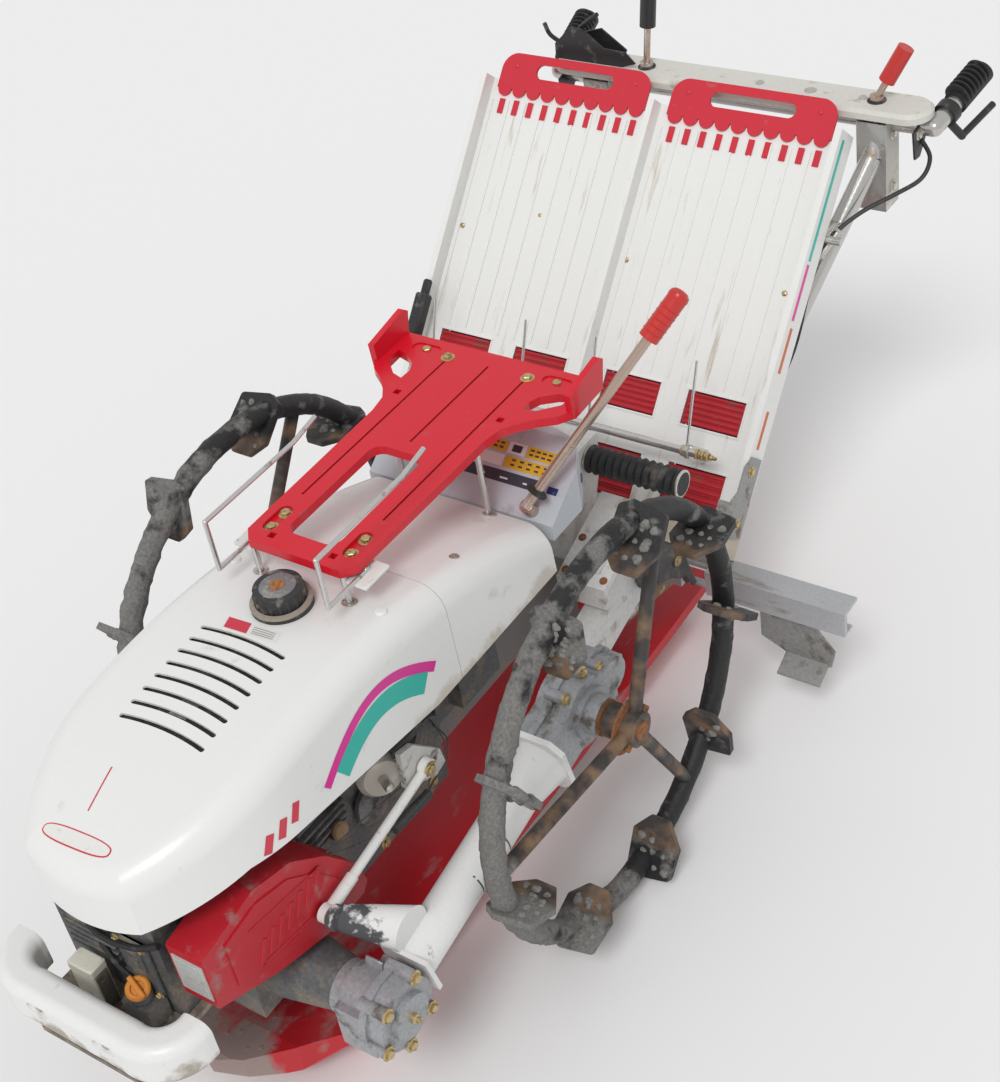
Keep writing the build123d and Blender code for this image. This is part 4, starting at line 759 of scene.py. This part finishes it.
def lumpy_ring(s):
    """The coat of a wheel's ring, swollen by mud, most of all at the front."""
    around, thick = 220, 16
    points, faces = [], []
    for k in range(around):
        a = 2 * math.pi * k / around
        out = Vector((0, math.cos(a), math.sin(a)))
        for j in range(thick):
            b = 2 * math.pi * j / thick
            way = math.cos(b) * out + math.sin(b) * Vector((1, 0, 0))
            spot = Vector((s * wheel_x, axle_y, axle_z)) + ring_r * out
            y, z = spot.y + 0.014 * way.y, spot.z + 0.014 * way.z
            swell = noise.noise(Vector((40 * way.x + s * 9, 55 * y, 55 * z)))
            swell += 0.6 * noise.noise(Vector((90 * way.x, 130 * y, 130 * z)))
            mud = 0.0012 + 0.0022 * to_front(spot.y, -0.10)
            points.append(spot + way * (coat_r + mud * max(-0.35, swell)))
    for k in range(around):
        here, there = k * thick, (k + 1) % around * thick
        faces += [[here + j, here + (j + 1) % thick, there + (j + 1) % thick, there + j]
                  for j in range(thick)]
    return points, faces


def lug_clods(s):
    """Lumps of dried mud on both faces of each lug, more of them at the front and on top."""
    clods = []
    for k in range(lugs):
        a = math.radians(first_lug + 360 / lugs * k)
        lean = a + math.radians(32)
        foot = Vector((s * wheel_x, axle_y + ring_r * math.sin(a), axle_z + ring_r * math.cos(a)))
        across, along = Vector((s, 0, 0)), Vector((0, math.sin(lean), math.cos(lean)))
        front = across.cross(along)
        much = 5 + round(9 * to_front(foot.y, -0.06)) + (5 if foot.z > 0.45 else 0)
        for j in range(2 * much):
            spot = foot + across * (-0.006 + 0.045 * spread(j * 37 + k * 11, 23))
            spot += along * (-0.046 + 0.056 * spread(j * 53 + k * 7, 29))
            spot += front * (lug_half if j % 2 else -lug_half)
            r = 0.0034 + 0.0036 * spread(j * 29 + k * 7, 10)
            outline = [(r * 1.15, -0.001), (r, r * 0.25), (r * 0.7, r * 0.5), (r * 0.2, r * 0.6)]
            lump = turned(outline, 9, 3, r * 0.25)
            clods.append(moved(lump, aimed(spot, front if j % 2 else -front, 31 * j)))
    return clods


mud_grey = finish("dried mud", (0.25, 0.245, 0.23), (0.13, 0.125, 0.115), share=0.45, size=60, rough=0.95,
                  grain=0.7, grain_size=300)
wheel_x, ring_r, coat_r = 0.279, 0.270, 0.0146
lugs, first_lug, lug_half = 9, 17, 0.0046
guard_outline = [(0.0232, -0.0008), (0.038, -0.0006), (0.039, 0.0004), (0.038, 0.0012), (0.0232, 0.0016)]
hub_pin = [(0.0042, -0.031), (0.0048, -0.028), (0.0048, 0.028), (0.0042, 0.031)]
axle_outline = [(0.0125, -0.002), (0.0125, 0.003), (0.0105, 0.0045), (0.003, 0.0048)]
for body, s in (("wheel_left", 1), ("wheel_right", -1)):
    paint = wheel_paint(body.replace("_", " ") + " paint")
    wear(paint, body)
    piece(body + " coat", [lumpy_ring(s)], paint, body, sharp=80)
    piece(body + " clods", lug_clods(s), mud_grey, body, sharp=70)
    hub_bits = [turned_at((s * 0.2925, axle_y, axle_z), (s, 0, 0), guard_outline, 40),
                turned_at((s * 0.305, axle_y, axle_z), (0, 0.87, 0.5), hub_pin, 14)]
    piece(body + " guard plate", hub_bits, rust, body)
    axle_end = turned_at((s * 0.3115, axle_y, axle_z), (s, 0, 0), axle_outline)
    piece(body + " axle end", [axle_end], rust, body)

# Float under the machine: a wide red hull that slides over the mud, its nose turned up
# Moulded red plastic, scuffed, with dried grey mud on the nose and in streaks behind
# It hangs from the main beam between the wheels
float_red = finish("float red", (0.56, 0.010, 0.020), (0.36, 0.27, 0.25), share=0.26, size=9, rough=0.38,
                   dirt_rough=0.95, grain=0.12, near=((0.0, -0.70, 0.07), 0.105), stretch=(1.6, 0.7, 1.0),
                   fade=((0, 0, 1), 0.0, 0.03))
wear(float_red, "float")
float_skin = skin_of("float")
crumb_count = 30
crumbs = []
for k in range(crumb_count):
    x, y = -0.07 + 0.14 * spread(k * 37, crumb_count), -0.665 + 0.09 * spread(k * 17, crumb_count)
    seat, facing = seat_on(float_skin, (x, y, 0.2), down)
    if seat is not None:
        r = 0.0022 + 0.004 * spread(k * 29, 10)
        outline = [(r * 1.1, -0.0008), (r, r * 0.08), (r * 0.6, r * 0.18), (r * 0.2, r * 0.22)]
        crumbs.append(moved(turned(outline, 11, 3, r * 0.3), aimed(seat, facing, 47 * k)))
piece("float crumbs", crumbs, float_red)

# Rack over the hood, one red plate with two upright wings behind
# Moulded red plastic, a little scuffed, with brass-coloured bolts in its front pockets
# The bolts go down into the rods; wire guards stand on both sides
rack_red = finish("rack red", (0.66, 0.006, 0.022), (0.50, 0.07, 0.07), share=0.2, size=45, rough=0.32,
                  dirt_rough=0.6, grain=0.06)
dark_hole = finish("dark hole", (0.06, 0.012, 0.014), (0.02, 0.01, 0.01), share=0.5, size=90, rough=0.8,
                   grain=0.2)
rod_steel = finish("rod steel", (0.66, 0.66, 0.65), (0.30, 0.22, 0.14), share=0.22, size=70, rough=0.22,
                   dirt_rough=0.7, metal=0.9, grain=0.08)
wear(rack_red, "rack")
wear(rod_steel, "rack_rods", "presser")
upward = (0, 0, 1)
rack_bolts = [((x, y, 0.6182), upward) for x in (-0.059, 0.059) for y in (-0.3160, -0.2890)]
rack_bolts += [((x, 0.0480, 0.6225), upward) for x in (-0.061, 0.061)]
rack_bolts += [((x, 0.055, 0.6192), upward) for x in (-0.100, 0.100)]
piece("rack bolts", bolts(rack_bolts, 0.0062, 0.005), brassy)
groove_half, groove_z = 0.0011, 0.6209
grooves = [slab((x - groove_half, y0, groove_z), (x + groove_half, y1, 0.6213), 0.0001)
           for x, y0, y1 in ((-0.060, -0.2555, 0.0495), (0.0, -0.1195, 0.050), (0.060, -0.2555, 0.0495))]
piece("groove shadows", grooves, dark_hole)
guard_plates = [side_slab(s, (0.062, -0.345, 0.6005), (0.098, -0.300, 0.6052)) for s in (1, -1)]
piece("guard plates", guard_plates, link_white)

# Console behind the hood, a pale grey pod with blank marks
# Grey plastic with a dark strip, blank yellow and white labels, a small window and a button on each side
# It sits on the post of the main beam


def patch(x0, x1, y0, y1, off):
    """A four-cornered label on top of the console, lifted off it by off millimetres."""
    over_pod = 0.52
    corners = [(x0, y0, over_pod), (x1, y0, over_pod), (x1, y1, over_pod), (x0, y1, over_pod)]
    return laid(pod, corners, down, off)


pod_grey = finish("pod grey", (0.50, 0.53, 0.57), (0.34, 0.33, 0.32), share=0.2, size=20, rough=0.45,
                  grain=0.05)
strip_dark = film("strip dark", (0.045, 0.055, 0.075), (0.2, 0.2, 0.2), share=0.2, size=70, rough=0.35)
label_yellow = film("label yellow", (0.72, 0.42, 0.03), (0.45, 0.32, 0.12), share=0.2, size=90, rough=0.35)
window_blue = film("window blue", (0.02, 0.05, 0.16), (0.2, 0.2, 0.22), share=0.2, size=90, rough=0.15,
                   grain=0.02)
wear(pod_grey, "console")
pod = skin_of("console")
upper_row, lower_row = (0.0085, 0.0215), (-0.0075, 0.0055)
mark_wide, mark_deep = 0.006, 0.0022
labels = [patch(-0.006, 0.038, *upper_row, 0.3), patch(0.068, 0.112, *upper_row, 0.3),
          patch(0.042, 0.112, *lower_row, 0.3)]
fields = [patch(0.040, 0.066, *upper_row, 0.4), patch(-0.006, 0.040, *lower_row, 0.4)]
marks = [patch(x, x + mark_wide, y, y + mark_deep, 0.6)
         for x in (0.000, 0.009, 0.018, 0.027, 0.072, 0.081, 0.090, 0.099) for y in (0.0115, 0.0165)]
marks += [patch(x, x + mark_wide, y, y + mark_deep, 0.6)
          for x in (0.052, 0.064, 0.076, 0.088, 0.100) for y in (-0.0045, 0.0010)]
marks.append(patch(0.046, 0.060, 0.0110, 0.0190, 0.6))
ticks = [patch(x, x + 0.012, -0.0205, -0.0185, 0.6) for x in (-0.11, -0.07, -0.03, 0.01, 0.045, 0.08)]
piece("console strip", [patch(-0.128, 0.112, -0.0245, -0.0115, 0.3)], strip_dark)
piece("console labels", labels, label_yellow)
piece("console fields", fields, decal_pale)
piece("console marks", marks, strip_dark)
piece("console ticks", ticks, decal_pale)
piece("console window", [patch(0.116, 0.131, -0.0225, -0.0145, 0.5)], window_blue)
button_seats = [seat_on(pod, (0.3 * s, 0.139, 0.4907), (-s * 0.87, -0.49, 0)) for s in (1, -1)]
button_outline = [(0.0062, -0.001), (0.0066, 0.0008), (0.0052, 0.0014), (0.0048, 0.0006), (0.0016, 0.0006)]
piece("console buttons", [turned_at(*seat, button_outline, 28) for seat in button_seats], window_blue)

# Shift lever in front of the console, and the small levers of the handle panel
# Plated rods, stained brown; red grips, apart from the black one at the machine's right
# The long lever has a dark collar near its foot
lever_brown = finish("lever brown", (0.52, 0.40, 0.33), (0.72, 0.69, 0.66), share=0.45, size=22, rough=0.25,
                     dirt_rough=0.3, metal=0.8, grain=0.08, stretch=(1.5, 1.5, 0.25))
grip_red = finish("grip red", (0.56, 0.03, 0.025), (0.30, 0.06, 0.04), share=0.22, size=60, rough=0.32,
                  grain=0.1)
place = add_node(grip_red, "TexCoord", {}).outputs["Object"]
across = add_node(grip_red, "SeparateXYZ", {0: place}).outputs["X"]
on_right = add_node(grip_red, "Math", {0: across, 1: -0.05}, operation="LESS_THAN")
recoloured(grip_red, on_right.outputs[0], (0.02, 0.02, 0.022, 1))
wear(lever_brown, "lever_rods")
wear(grip_red, "lever_grips")
grip_foot = Vector((0.213, 0.0953, 0.689))
shift_way = Vector((0.105, 0.152, 0.179)).normalized()
ring_outline = [(0.0128, -0.0012), (0.0139, 0.0), (0.0128, 0.0012)]
end_outline = [(0.0130, -0.003), (0.0138, 0.0), (0.0125, 0.005), (0.008, 0.0085), (0.002, 0.0095)]
grip_bits = [turned_at(grip_foot + shift_way * (0.010 + 0.0085 * k), shift_way, ring_outline)
             for k in range(5)]
grip_bits.append(turned_at(grip_foot + shift_way * 0.0605, shift_way, end_outline))
piece("shift grip rings", grip_bits, grip_red)
shift_foot = Vector((0.108, -0.0567, 0.510))
collar_outline = [(0.0145, -0.002), (0.0150, 0.001), (0.0120, 0.0035), (0.0085, 0.004)]
lever_collar = turned_at(shift_foot + shift_way * 0.024, shift_way, collar_outline, 26)
piece("lever collar", [lever_collar], rubber_black)

# Bellows over the feed shaft on both sides of the middle case
# Black rubber, dusty in its folds, held by wire clips at the ends
# It hides the cross screw that shifts the table
bellows_black = finish("bellows black", (0.014, 0.014, 0.015), (0.11, 0.10, 0.09), share=0.38, size=30,
                       rough=0.55, grain=0.3)
wear(bellows_black, "bellows")
clip_outline = [(0.0185, -0.0016), (0.0196, -0.0012), (0.0196, 0.0012), (0.0185, 0.0016)]
clips = [turned_at((s * x, 0.1843, 0.395), (s, 0, 0), clip_outline, 36)
         for s in (1, -1) for x in (0.0405, 0.1845)]
piece("bellows clips", clips, plated)

# Seedling table: a sloping tray of two lanes, with red belts in its windows and red plates on top
# White moulded plastic, dirt run down in streaks; red stripes under the plates; coloured strips outside
# It slides sideways on the rail, driven through the bellows shaft, and a bent stay closes its left end
deck_slope = math.radians(48)
deck_x, deck_y, deck_z = -0.094, 0.2473, 0.220
lanes = (-0.15, 0.15)
windows = [(lane + side * 0.069, low, high) for lane in lanes for side in (1, -1)
           for low, high in ((0.040, 0.112), (0.169, 0.219))]


def on_deck(x, s, h=0.0):
    """A point of the table: x from its middle, s up the slope, h above the deck."""
    return Vector((deck_x + x, deck_y + s * math.cos(deck_slope) - h * math.sin(deck_slope),
                   deck_z + s * math.sin(deck_slope) + h * math.cos(deck_slope)))


def deck_place(x, s, h=0.0):
    """A placing matrix: local Y runs up the slope, local Z away from the deck."""
    return Matrix.Translation(on_deck(x, s, h)) @ Matrix.Rotation(deck_slope, 4, "X")


def on_table(name, shapes, paint):
    """A piece that slides with the table."""
    piece(name, shapes, paint, "seedling_table")


def plate(outline, thick):
    """A flat plate with this outline, its points in order, thick in the direction of the vector."""
    outline = [Vector(spot) for spot in outline]
    n = len(outline)
    points = outline + [spot + Vector(thick) for spot in outline]
    faces = [list(range(n)), list(range(2 * n - 1, n - 1, -1))]
    faces += [[k, n + k, n + (k + 1) % n, (k + 1) % n] for k in range(n)]
    return points, faces


table_white = finish("table white", (0.80, 0.80, 0.78), (0.55, 0.49, 0.39), share=0.22, size=10, rough=0.38,
                     dirt_rough=0.7, grain=0.04, stretch=(5.5, 0.55, 0.55), fade=((0, 0, 1), 0.215, 0.33))
belt_red = finish("belt red", (0.50, 0.014, 0.026), (0.30, 0.07, 0.05), share=0.3, size=50, rough=0.45,
                  grain=0.15)
plate_red = finish("plate red", (0.60, 0.022, 0.042), (0.48, 0.12, 0.12), share=0.15, size=40, rough=0.3,
                   grain=0.04)
strip_orange = finish("strip orange", (0.62, 0.13, 0.025), (0.45, 0.2, 0.1), share=0.25, size=70, rough=0.4,
                      grain=0.06)
end_black = finish("end black", (0.02, 0.02, 0.022), (0.15, 0.14, 0.13), share=0.3, size=60, rough=0.5,
                   grain=0.2)
zinc = finish("dull zinc", (0.36, 0.36, 0.35), (0.20, 0.17, 0.13), share=0.4, size=35, rough=0.5,
              dirt_rough=0.85, metal=0.5, grain=0.4)
wear(table_white, "table_panel")
wear(belt_red, "table_belts")
wear(plate_red, "table_plates")
stripe = slab((-0.0048, -0.0115, -0.0004), (0.0048, 0.0115, 0.0023), 0.0005)
stripes = [moved(stripe, deck_place(lane + (k - 4.5) * 0.026, 0.5725)) for lane in lanes for k in range(10)]
on_table("table stripes", stripes, plate_red)
belt_bar = turned([(0.0012, -0.043), (0.0024, -0.041), (0.0024, 0.041), (0.0012, 0.043)], 8)
crosswise = Matrix.Rotation(math.pi / 2, 4, "Y")
belt_bars, rims = [], []
for middle_x, low, high in windows:
    for k in range(6):
        up_slope = low + (high - low) * (k + 0.5) / 6
        belt_bars.append(moved(belt_bar, deck_place(middle_x, up_slope, -0.0022) @ crosswise))
    for edge in (low - 0.0015, high + 0.0015):
        rims.append(moved(slab((-0.049, -0.0015, -0.0006), (0.049, 0.0015, 0.0018), 0.0005),
                          deck_place(middle_x, edge)))
    half = (high - low) / 2
    for edge in (-0.0475, 0.0475):
        rims.append(moved(slab((-0.0012, -half, -0.0006), (0.0012, half, 0.0018), 0.0005),
                          deck_place(middle_x + edge, (low + high) / 2)))
on_table("belt bars", belt_bars, belt_red)
on_table("window rims", rims, table_white)
big_screw = turned([(0.0042, -0.0004), (0.0042, 0.0006), (0.003, 0.0016), (0.001, 0.0018)], 16)
small_screw = turned([(0.003, -0.0004), (0.003, 0.0006), (0.001, 0.0012)], 12)
table_screws = [moved(big_screw, deck_place(x, 0.381, 0.0002)) for x in (-0.279, 0.017, 0.275)]
table_screws.append(moved(small_screw, deck_place(-0.1475, 0.42, 0.0002)))
on_table("table screws", table_screws, brassy)
rivet = turned([(0.0032, -0.001), (0.0036, 0.0008), (0.0024, 0.0018), (0.0008, 0.002)], 14)
rivets = [moved(rivet, deck_place(lane + x, 0.636, 0.0038)) for lane in lanes for x in (-0.105, 0.105)]
on_table("plate rivets", rivets, plate_red)
for title, paint, slot, low, high, h in (
        ("teal edge strip", decal_teal, "table", 0.430, 0.602, 0.010),
        ("pink edge strip", decal_pink, "red_plastic", 0.345, 0.425, 0.010),
        ("upper orange strip", strip_orange, "table", 0.270, 0.335, 0.006),
        ("lower orange strip", strip_orange, "table", 0.160, 0.215, 0.006)):
    edge_strip = slab((0.0, low, -0.004), (0.0004, high, 0.004), 0.0001)
    on_table(title, [moved(edge_strip, deck_place(0.302, 0.0, h))], paint)
block = slab((-0.301, 0.196, 0.0245), (-0.281, 0.262, 0.047), 0.003)
tongue = slab((-0.298, 0.256, 0.030), (-0.284, 0.285, 0.040), 0.003)
on_table("edge block", [moved(shape, deck_place(0, 0)) for shape in (block, tongue)], end_black)
outer_x, stay_thick = 0.3024, 0.0036
stay_side = [on_deck(outer_x, s, h) for s, h in (
    (0.032, -0.010), (0.032, 0.034), (0.060, 0.050), (0.082, 0.050), (0.096, 0.036), (0.132, 0.036),
    (0.148, 0.020), (0.148, -0.010))]
stay_fold = [on_deck(outer_x - 0.016, s, 0.0495) for s in (0.062, 0.080)]
stay_fold += [on_deck(outer_x + stay_thick, s, 0.0495) for s in (0.080, 0.062)]
stay = [plate(stay_side, (stay_thick, 0, 0)), plate(stay_fold, on_deck(0, 0, 0.0025) - on_deck(0, 0, 0))]
on_table("table end stay", stay, zinc)
stay_bolts = [(on_deck(outer_x + stay_thick, s, 0.015), outward) for s in (0.052, 0.128)]
on_table("stay bolts", bolts(stay_bolts, 0.0055, 0.0045), brassy)

# Presser rod over the lanes, with its wires and the adjusters at its ends
# Plated rod, with brass-coloured nuts and washers on a stud at each end and collars round the wires' feet
# Held by small stands screwed to the deck
rod_s, rod_h = 0.132, 0.058
adjusters = []
for s in (1, -1):
    rod_end = on_deck(s * 0.237, rod_s, rod_h)
    for dx, r in ((0.0, 0.0085), (0.0045, 0.0062), (0.009, 0.0078), (0.0135, 0.0055), (0.0165, 0.0072),
                  (0.022, 0.004)):
        nut_outline = [(r * 0.86, 0.0), (r, 0.0008), (r, 0.0034), (r * 0.86, 0.0042)]
        nut_sides = 6 if r > 0.007 else 18
        adjusters.append(turned_at(rod_end + Vector((s * dx, 0, 0)), (s, 0, 0), nut_outline, nut_sides, 20))
    adjusters.append(tube([rod_end, rod_end + Vector((s * 0.032, 0, 0))], 0.0026, 8))
    stand_top = aimed(on_deck(s * 0.218, rod_s, 0.0585), on_deck(0, 0, 1) - on_deck(0, 0, 0))
    adjusters.append(moved(bolt(0.0055, 0.006), stand_top))
on_table("presser adjusters", adjusters, brassy)
wire_collar = [(0.0066, -0.005), (0.0085, -0.004), (0.0085, 0.004), (0.0066, 0.005)]
wire_collars = [turned_at(on_deck(x, rod_s, rod_h), outward, wire_collar, 18)
                for x in (-0.222, -0.06, 0.06, 0.222)]
on_table("wire collars", wire_collars, plated)

# Rail that the table slides on, with its bent end feet
# Drawn aluminium, dull and scratched, with a lip along its front; the feet are dull zinc-plated steel
# Bolted to the main beam
rail_alloy = finish("rail alloy", (0.52, 0.53, 0.55), (0.27, 0.24, 0.2), share=0.3, size=12, rough=0.38,
                    dirt_rough=0.8, metal=0.45, grain=0.2, stretch=(0.6, 3, 3))
wear(rail_alloy, "rail")
wear(zinc, "rail_ends")

# Planting cases above the rear of the float, with square cover boxes on the outer two, and the main beam
# Rough white-painted castings with small rusty and plated bolts; the covers carry a raised bead; grey beam
# Bolted to the main beam
case_white = finish("case white", (0.70, 0.70, 0.68), (0.42, 0.35, 0.27), share=0.3, size=24, rough=0.45,
                    grain=0.25, grain_size=140)
beam_grey = finish("beam grey", (0.20, 0.20, 0.195), (0.30, 0.22, 0.16), share=0.35, size=16, rough=0.5,
                   dirt_rough=0.85, grain=0.3)
wear(case_white, "planting_cases", "case_covers")
wear(beam_grey, "main_beam")
cover_skin = skin_of("case_covers")
case_skin = skin_of("planting_cases")
cover_bolts, cover_beads, case_bolts = [], [], []
for s in (1, -1):
    corners = []
    for dx, y in ((-0.030, 0.056), (0.030, 0.056), (0.030, 0.104), (-0.030, 0.104)):
        seat, facing = seat_on(cover_skin, (s * (0.098 + dx), y, 0.42), down)
        cover_bolts.append(moved(bolt(0.0038, 0.0036), aimed(seat, facing, 17)))
        corners.append(seat + facing * 0.0008)
    middle = sum(corners, Vector()) / 4
    bead = [middle + (corner - middle) * 0.66 for corner in corners]
    cover_beads.append(tube(bead + bead[:1], 0.0016, 8))
    for y, z in ((0.020, 0.200), (0.020, 0.250), (0.060, 0.186), (0.105, 0.186), (0.150, 0.196),
                 (0.190, 0.230), (0.168, 0.275), (0.050, 0.262)):
        seat, facing = seat_on(case_skin, (s * 0.3, y, z), (-s, 0, 0))
        if seat and abs(facing.x) > 0.8:
            case_bolts.append(moved(bolt(0.0048, 0.0042), aimed(seat, facing, 23)))
piece("cover bolts", cover_bolts, rust)
piece("cover panel edge", cover_beads, case_white)
piece("case bolts", case_bolts, plated)

# Planting cranks and the arms with their claws, one pair on each side, half a turn apart
# Dark cast steel, dusty, with nuts on the crank ends
# The cranks turn on the case shafts and carry the arms
claw_dark = finish("claw dark", (0.10, 0.10, 0.105), (0.24, 0.19, 0.14), share=0.35, size=50, rough=0.45,
                   dirt_rough=0.8, metal=0.5, grain=0.25)
wear(claw_dark, "planting_crank_left", "planting_crank_right", "planting_arm_left", "planting_arm_right")
for side_name, s, y, z in (("left", 1, 0.1524, 0.257), ("right", -1, 0.1262, 0.243)):
    crank_skin = skin_of("planting_crank_" + side_name)
    nuts = []
    for dy, dz in ((0.0, 0.0), (0.018, 0.010), (-0.018, -0.010)):
        start = Vector((s * 0.14, y, z)) + Vector((s * 0.1, dy, dz))
        seat, facing = seat_on(crank_skin, start, (-s, 0, 0))
        if seat:
            nuts.append(moved(bolt(0.0052, 0.004), aimed(seat, facing, 10)))
    piece(side_name + " crank nuts", nuts, brassy, "crank_" + side_name)

# Handle frame: two bent tubes with a cross panel, beige-grey channels and rubber grips
# The tubes are plated steel with some rust at the low end; the channels are painted a beige grey
# Bolted to the main beam
tube_chrome = finish("tube chrome", (0.58, 0.57, 0.55), (0.33, 0.23, 0.15), share=0.26, size=26, rough=0.2,
                     dirt_rough=0.75, metal=0.85, grain=0.12, fade=((0, 0, 1), 0.10, 0.34))
panel_white = finish("panel white", (0.66, 0.65, 0.60), (0.46, 0.41, 0.33), share=0.24, size=30, rough=0.5,
                     grain=0.12)
grip_rubber = finish("grip rubber", (0.016, 0.016, 0.017), (0.085, 0.08, 0.075), share=0.3, size=60,
                     rough=0.6, grain=0.35)
hook_black = finish("hook black", (0.03, 0.03, 0.032), (0.17, 0.15, 0.13), share=0.3, size=45, rough=0.42,
                    metal=0.2, grain=0.15)
channel_beige = finish("channel beige", (0.52, 0.50, 0.45), (0.34, 0.30, 0.25), share=0.28, size=28,
                       rough=0.5, grain=0.15)
wear(tube_chrome, "handle_frame")
wear(panel_white, "handle_panel")
wear(grip_rubber, "handle_grips")
wear(hook_black, "clutch_levers")
channel_x, channel_half, coat = 0.225, 0.0226, 0.0006
front_y, rear_y, low_z, high_z = 0.6945, 0.7377, 0.550, 0.682
coats, rings = [], []
for s in (1, -1):
    x0, x1 = s * channel_x - channel_half, s * channel_x + channel_half
    for low_x, low_y, high_x in ((x0, front_y, x0 + coat), (x1 - coat, front_y, x1), (x0, rear_y - coat, x1)):
        coats.append(slab((low_x, low_y, low_z), (high_x, rear_y, high_z), 0.0002))
    grip_start, grip_end = Vector((s * 0.307, 0.7211, 0.678)), Vector((s * 0.325, 0.8391, 0.706))
    way = (grip_end - grip_start).normalized()
    ring_outline = [(0.0166, -0.0022), (0.0186, -0.0012), (0.0186, 0.0012), (0.0166, 0.0022)]
    rings += [turned_at(grip_start + way * (0.060 + 0.0092 * k), way, ring_outline, 30) for k in range(7)]
channel_bolts = [((s * 0.2479, 0.716, z), (s, 0, 0)) for s in (1, -1) for z in (0.572, 0.655)]
piece("channel paint", coats, channel_beige)
piece("channel bolts", bolts(channel_bolts, 0.0062, 0.005), plated)
piece("grip rings", rings, grip_rubber)
panel_y = 0.7222
screw_outline = [(0.0062, -0.0004), (0.0062, 0.0012), (0.0046, 0.0024), (0.0018, 0.0026)]
plug_outline = [(0.0092, -0.0004), (0.0092, 0.0006), (0.0072, 0.001)]
screws = [turned_at((x, panel_y, 0.6980), upward, screw_outline, 22) for x in (-0.2007, 0.2007, 0.04)]
screws.append(turned_at((0.120, panel_y, 0.6978), upward, plug_outline, 26))
piece("panel screws", screws, plated)
rubber_outline = [(0.0135, -0.0008), (0.0135, 0.0012), (0.0105, 0.0032), (0.0070, 0.0034)]
lever_collars = [turned_at((x, 0.7211, 0.698), upward, rubber_outline, 26) for x in (0.222, -0.148)]
piece("lever collars", lever_collars, rubber_black)

# Cable brackets under the grips, a dark bracket at the panel's right end, the clutch cable on the left side
# Dark folded plates with bolts; a black sheath with a silver adjuster near its upper end
# The cable runs from the clutch lever down the handle column, held by two clips, to the column's foot
plate_thick = 0.003
under_grip = ((0.690, 0.672), (0.742, 0.684), (0.748, 0.668), (0.712, 0.628), (0.696, 0.630))
front_plate = ((-0.302, 0.694), (-0.186, 0.698), (-0.160, 0.706), (-0.176, 0.722), (-0.214, 0.724),
               (-0.248, 0.750), (-0.268, 0.752), (-0.300, 0.722))
rear_plate = ((-0.300, 0.694), (-0.196, 0.698), (-0.190, 0.712), (-0.232, 0.742), (-0.286, 0.726))
brackets = [plate([(s * 0.2875, y, z) for y, z in under_grip], (s * plate_thick, 0, 0)) for s in (1, -1)]
brackets += [plate([(x, y, z) for x, z in outline], (0, plate_thick, 0))
             for y, outline in ((0.7075, front_plate), (0.7345, rear_plate))]
brackets += [tube(curved(*line), 0.0034) for line in (
    ((-0.262, 0.722, 0.744), (-0.240, 0.716, 0.762), (-0.222, 0.714, 0.7745)),
    ((-0.292, 0.724, 0.712), (-0.312, 0.716, 0.730), (-0.318, 0.712, 0.750)))]
piece("cable brackets", brackets, hook_black)
bracket_bolts = [((s * 0.2905, y, z), (s, 0, 0))
                 for s in (1, -1) for y, z in ((0.706, 0.664), (0.728, 0.668))]
piece("bracket bolts", bolts(bracket_bolts, 0.0055, 0.0045), plated)
sheath = finish("sheath black", (0.018, 0.018, 0.02), (0.09, 0.085, 0.08), share=0.3, size=60, rough=0.4,
                grain=0.15)
column_foot, column_top = Vector((0.090, 0.2913, 0.126)), Vector((0.225, 0.697, 0.622))
beside = Vector((0.979, -0.130, -0.159)) * 0.0192
route = [column_foot.lerp(column_top, share) + beside for share in (0.03, 0.2, 0.4, 0.56)]
route += [Vector(spot) for spot in (
    (0.196, 0.566, 0.515), (0.212, 0.594, 0.551), (0.240, 0.629, 0.575), (0.274, 0.664, 0.590),
    (0.300, 0.694, 0.604), (0.305, 0.712, 0.628), (0.2905, 0.716, 0.652))]
piece("clutch cable", [tube(curved(*route), 0.0032)], sheath)
barrel_low, barrel_high = route[4].lerp(route[5], 0.25), route[5].lerp(route[6], 0.25)
nut_outline = [(0.0066, -0.002), (0.0072, -0.0012), (0.0072, 0.0012), (0.0066, 0.002)]
adjuster = [tube([barrel_low, barrel_high], 0.0048, 14)]
adjuster += [turned_at(barrel_low.lerp(barrel_high, share), route[5] - route[4], nut_outline, 6, 15)
             for share in (0.1, 0.55, 0.95)]
piece("cable adjuster", adjuster, plated)
column_clip = [(0.0152, -0.004), (0.0162, -0.0035), (0.0162, 0.0035), (0.0152, 0.004)]
sheath_clip = [(0.0034, -0.004), (0.0044, -0.0035), (0.0044, 0.0035), (0.0034, 0.004)]
clips = []
for share in (0.2, 0.4):
    spot = column_foot.lerp(column_top, share)
    clips.append(turned_at(spot, column_top - column_foot, column_clip, 28))
    clips.append(turned_at(spot + beside, column_top - column_foot, sheath_clip, 16))
piece("cable clips", clips, sheath)
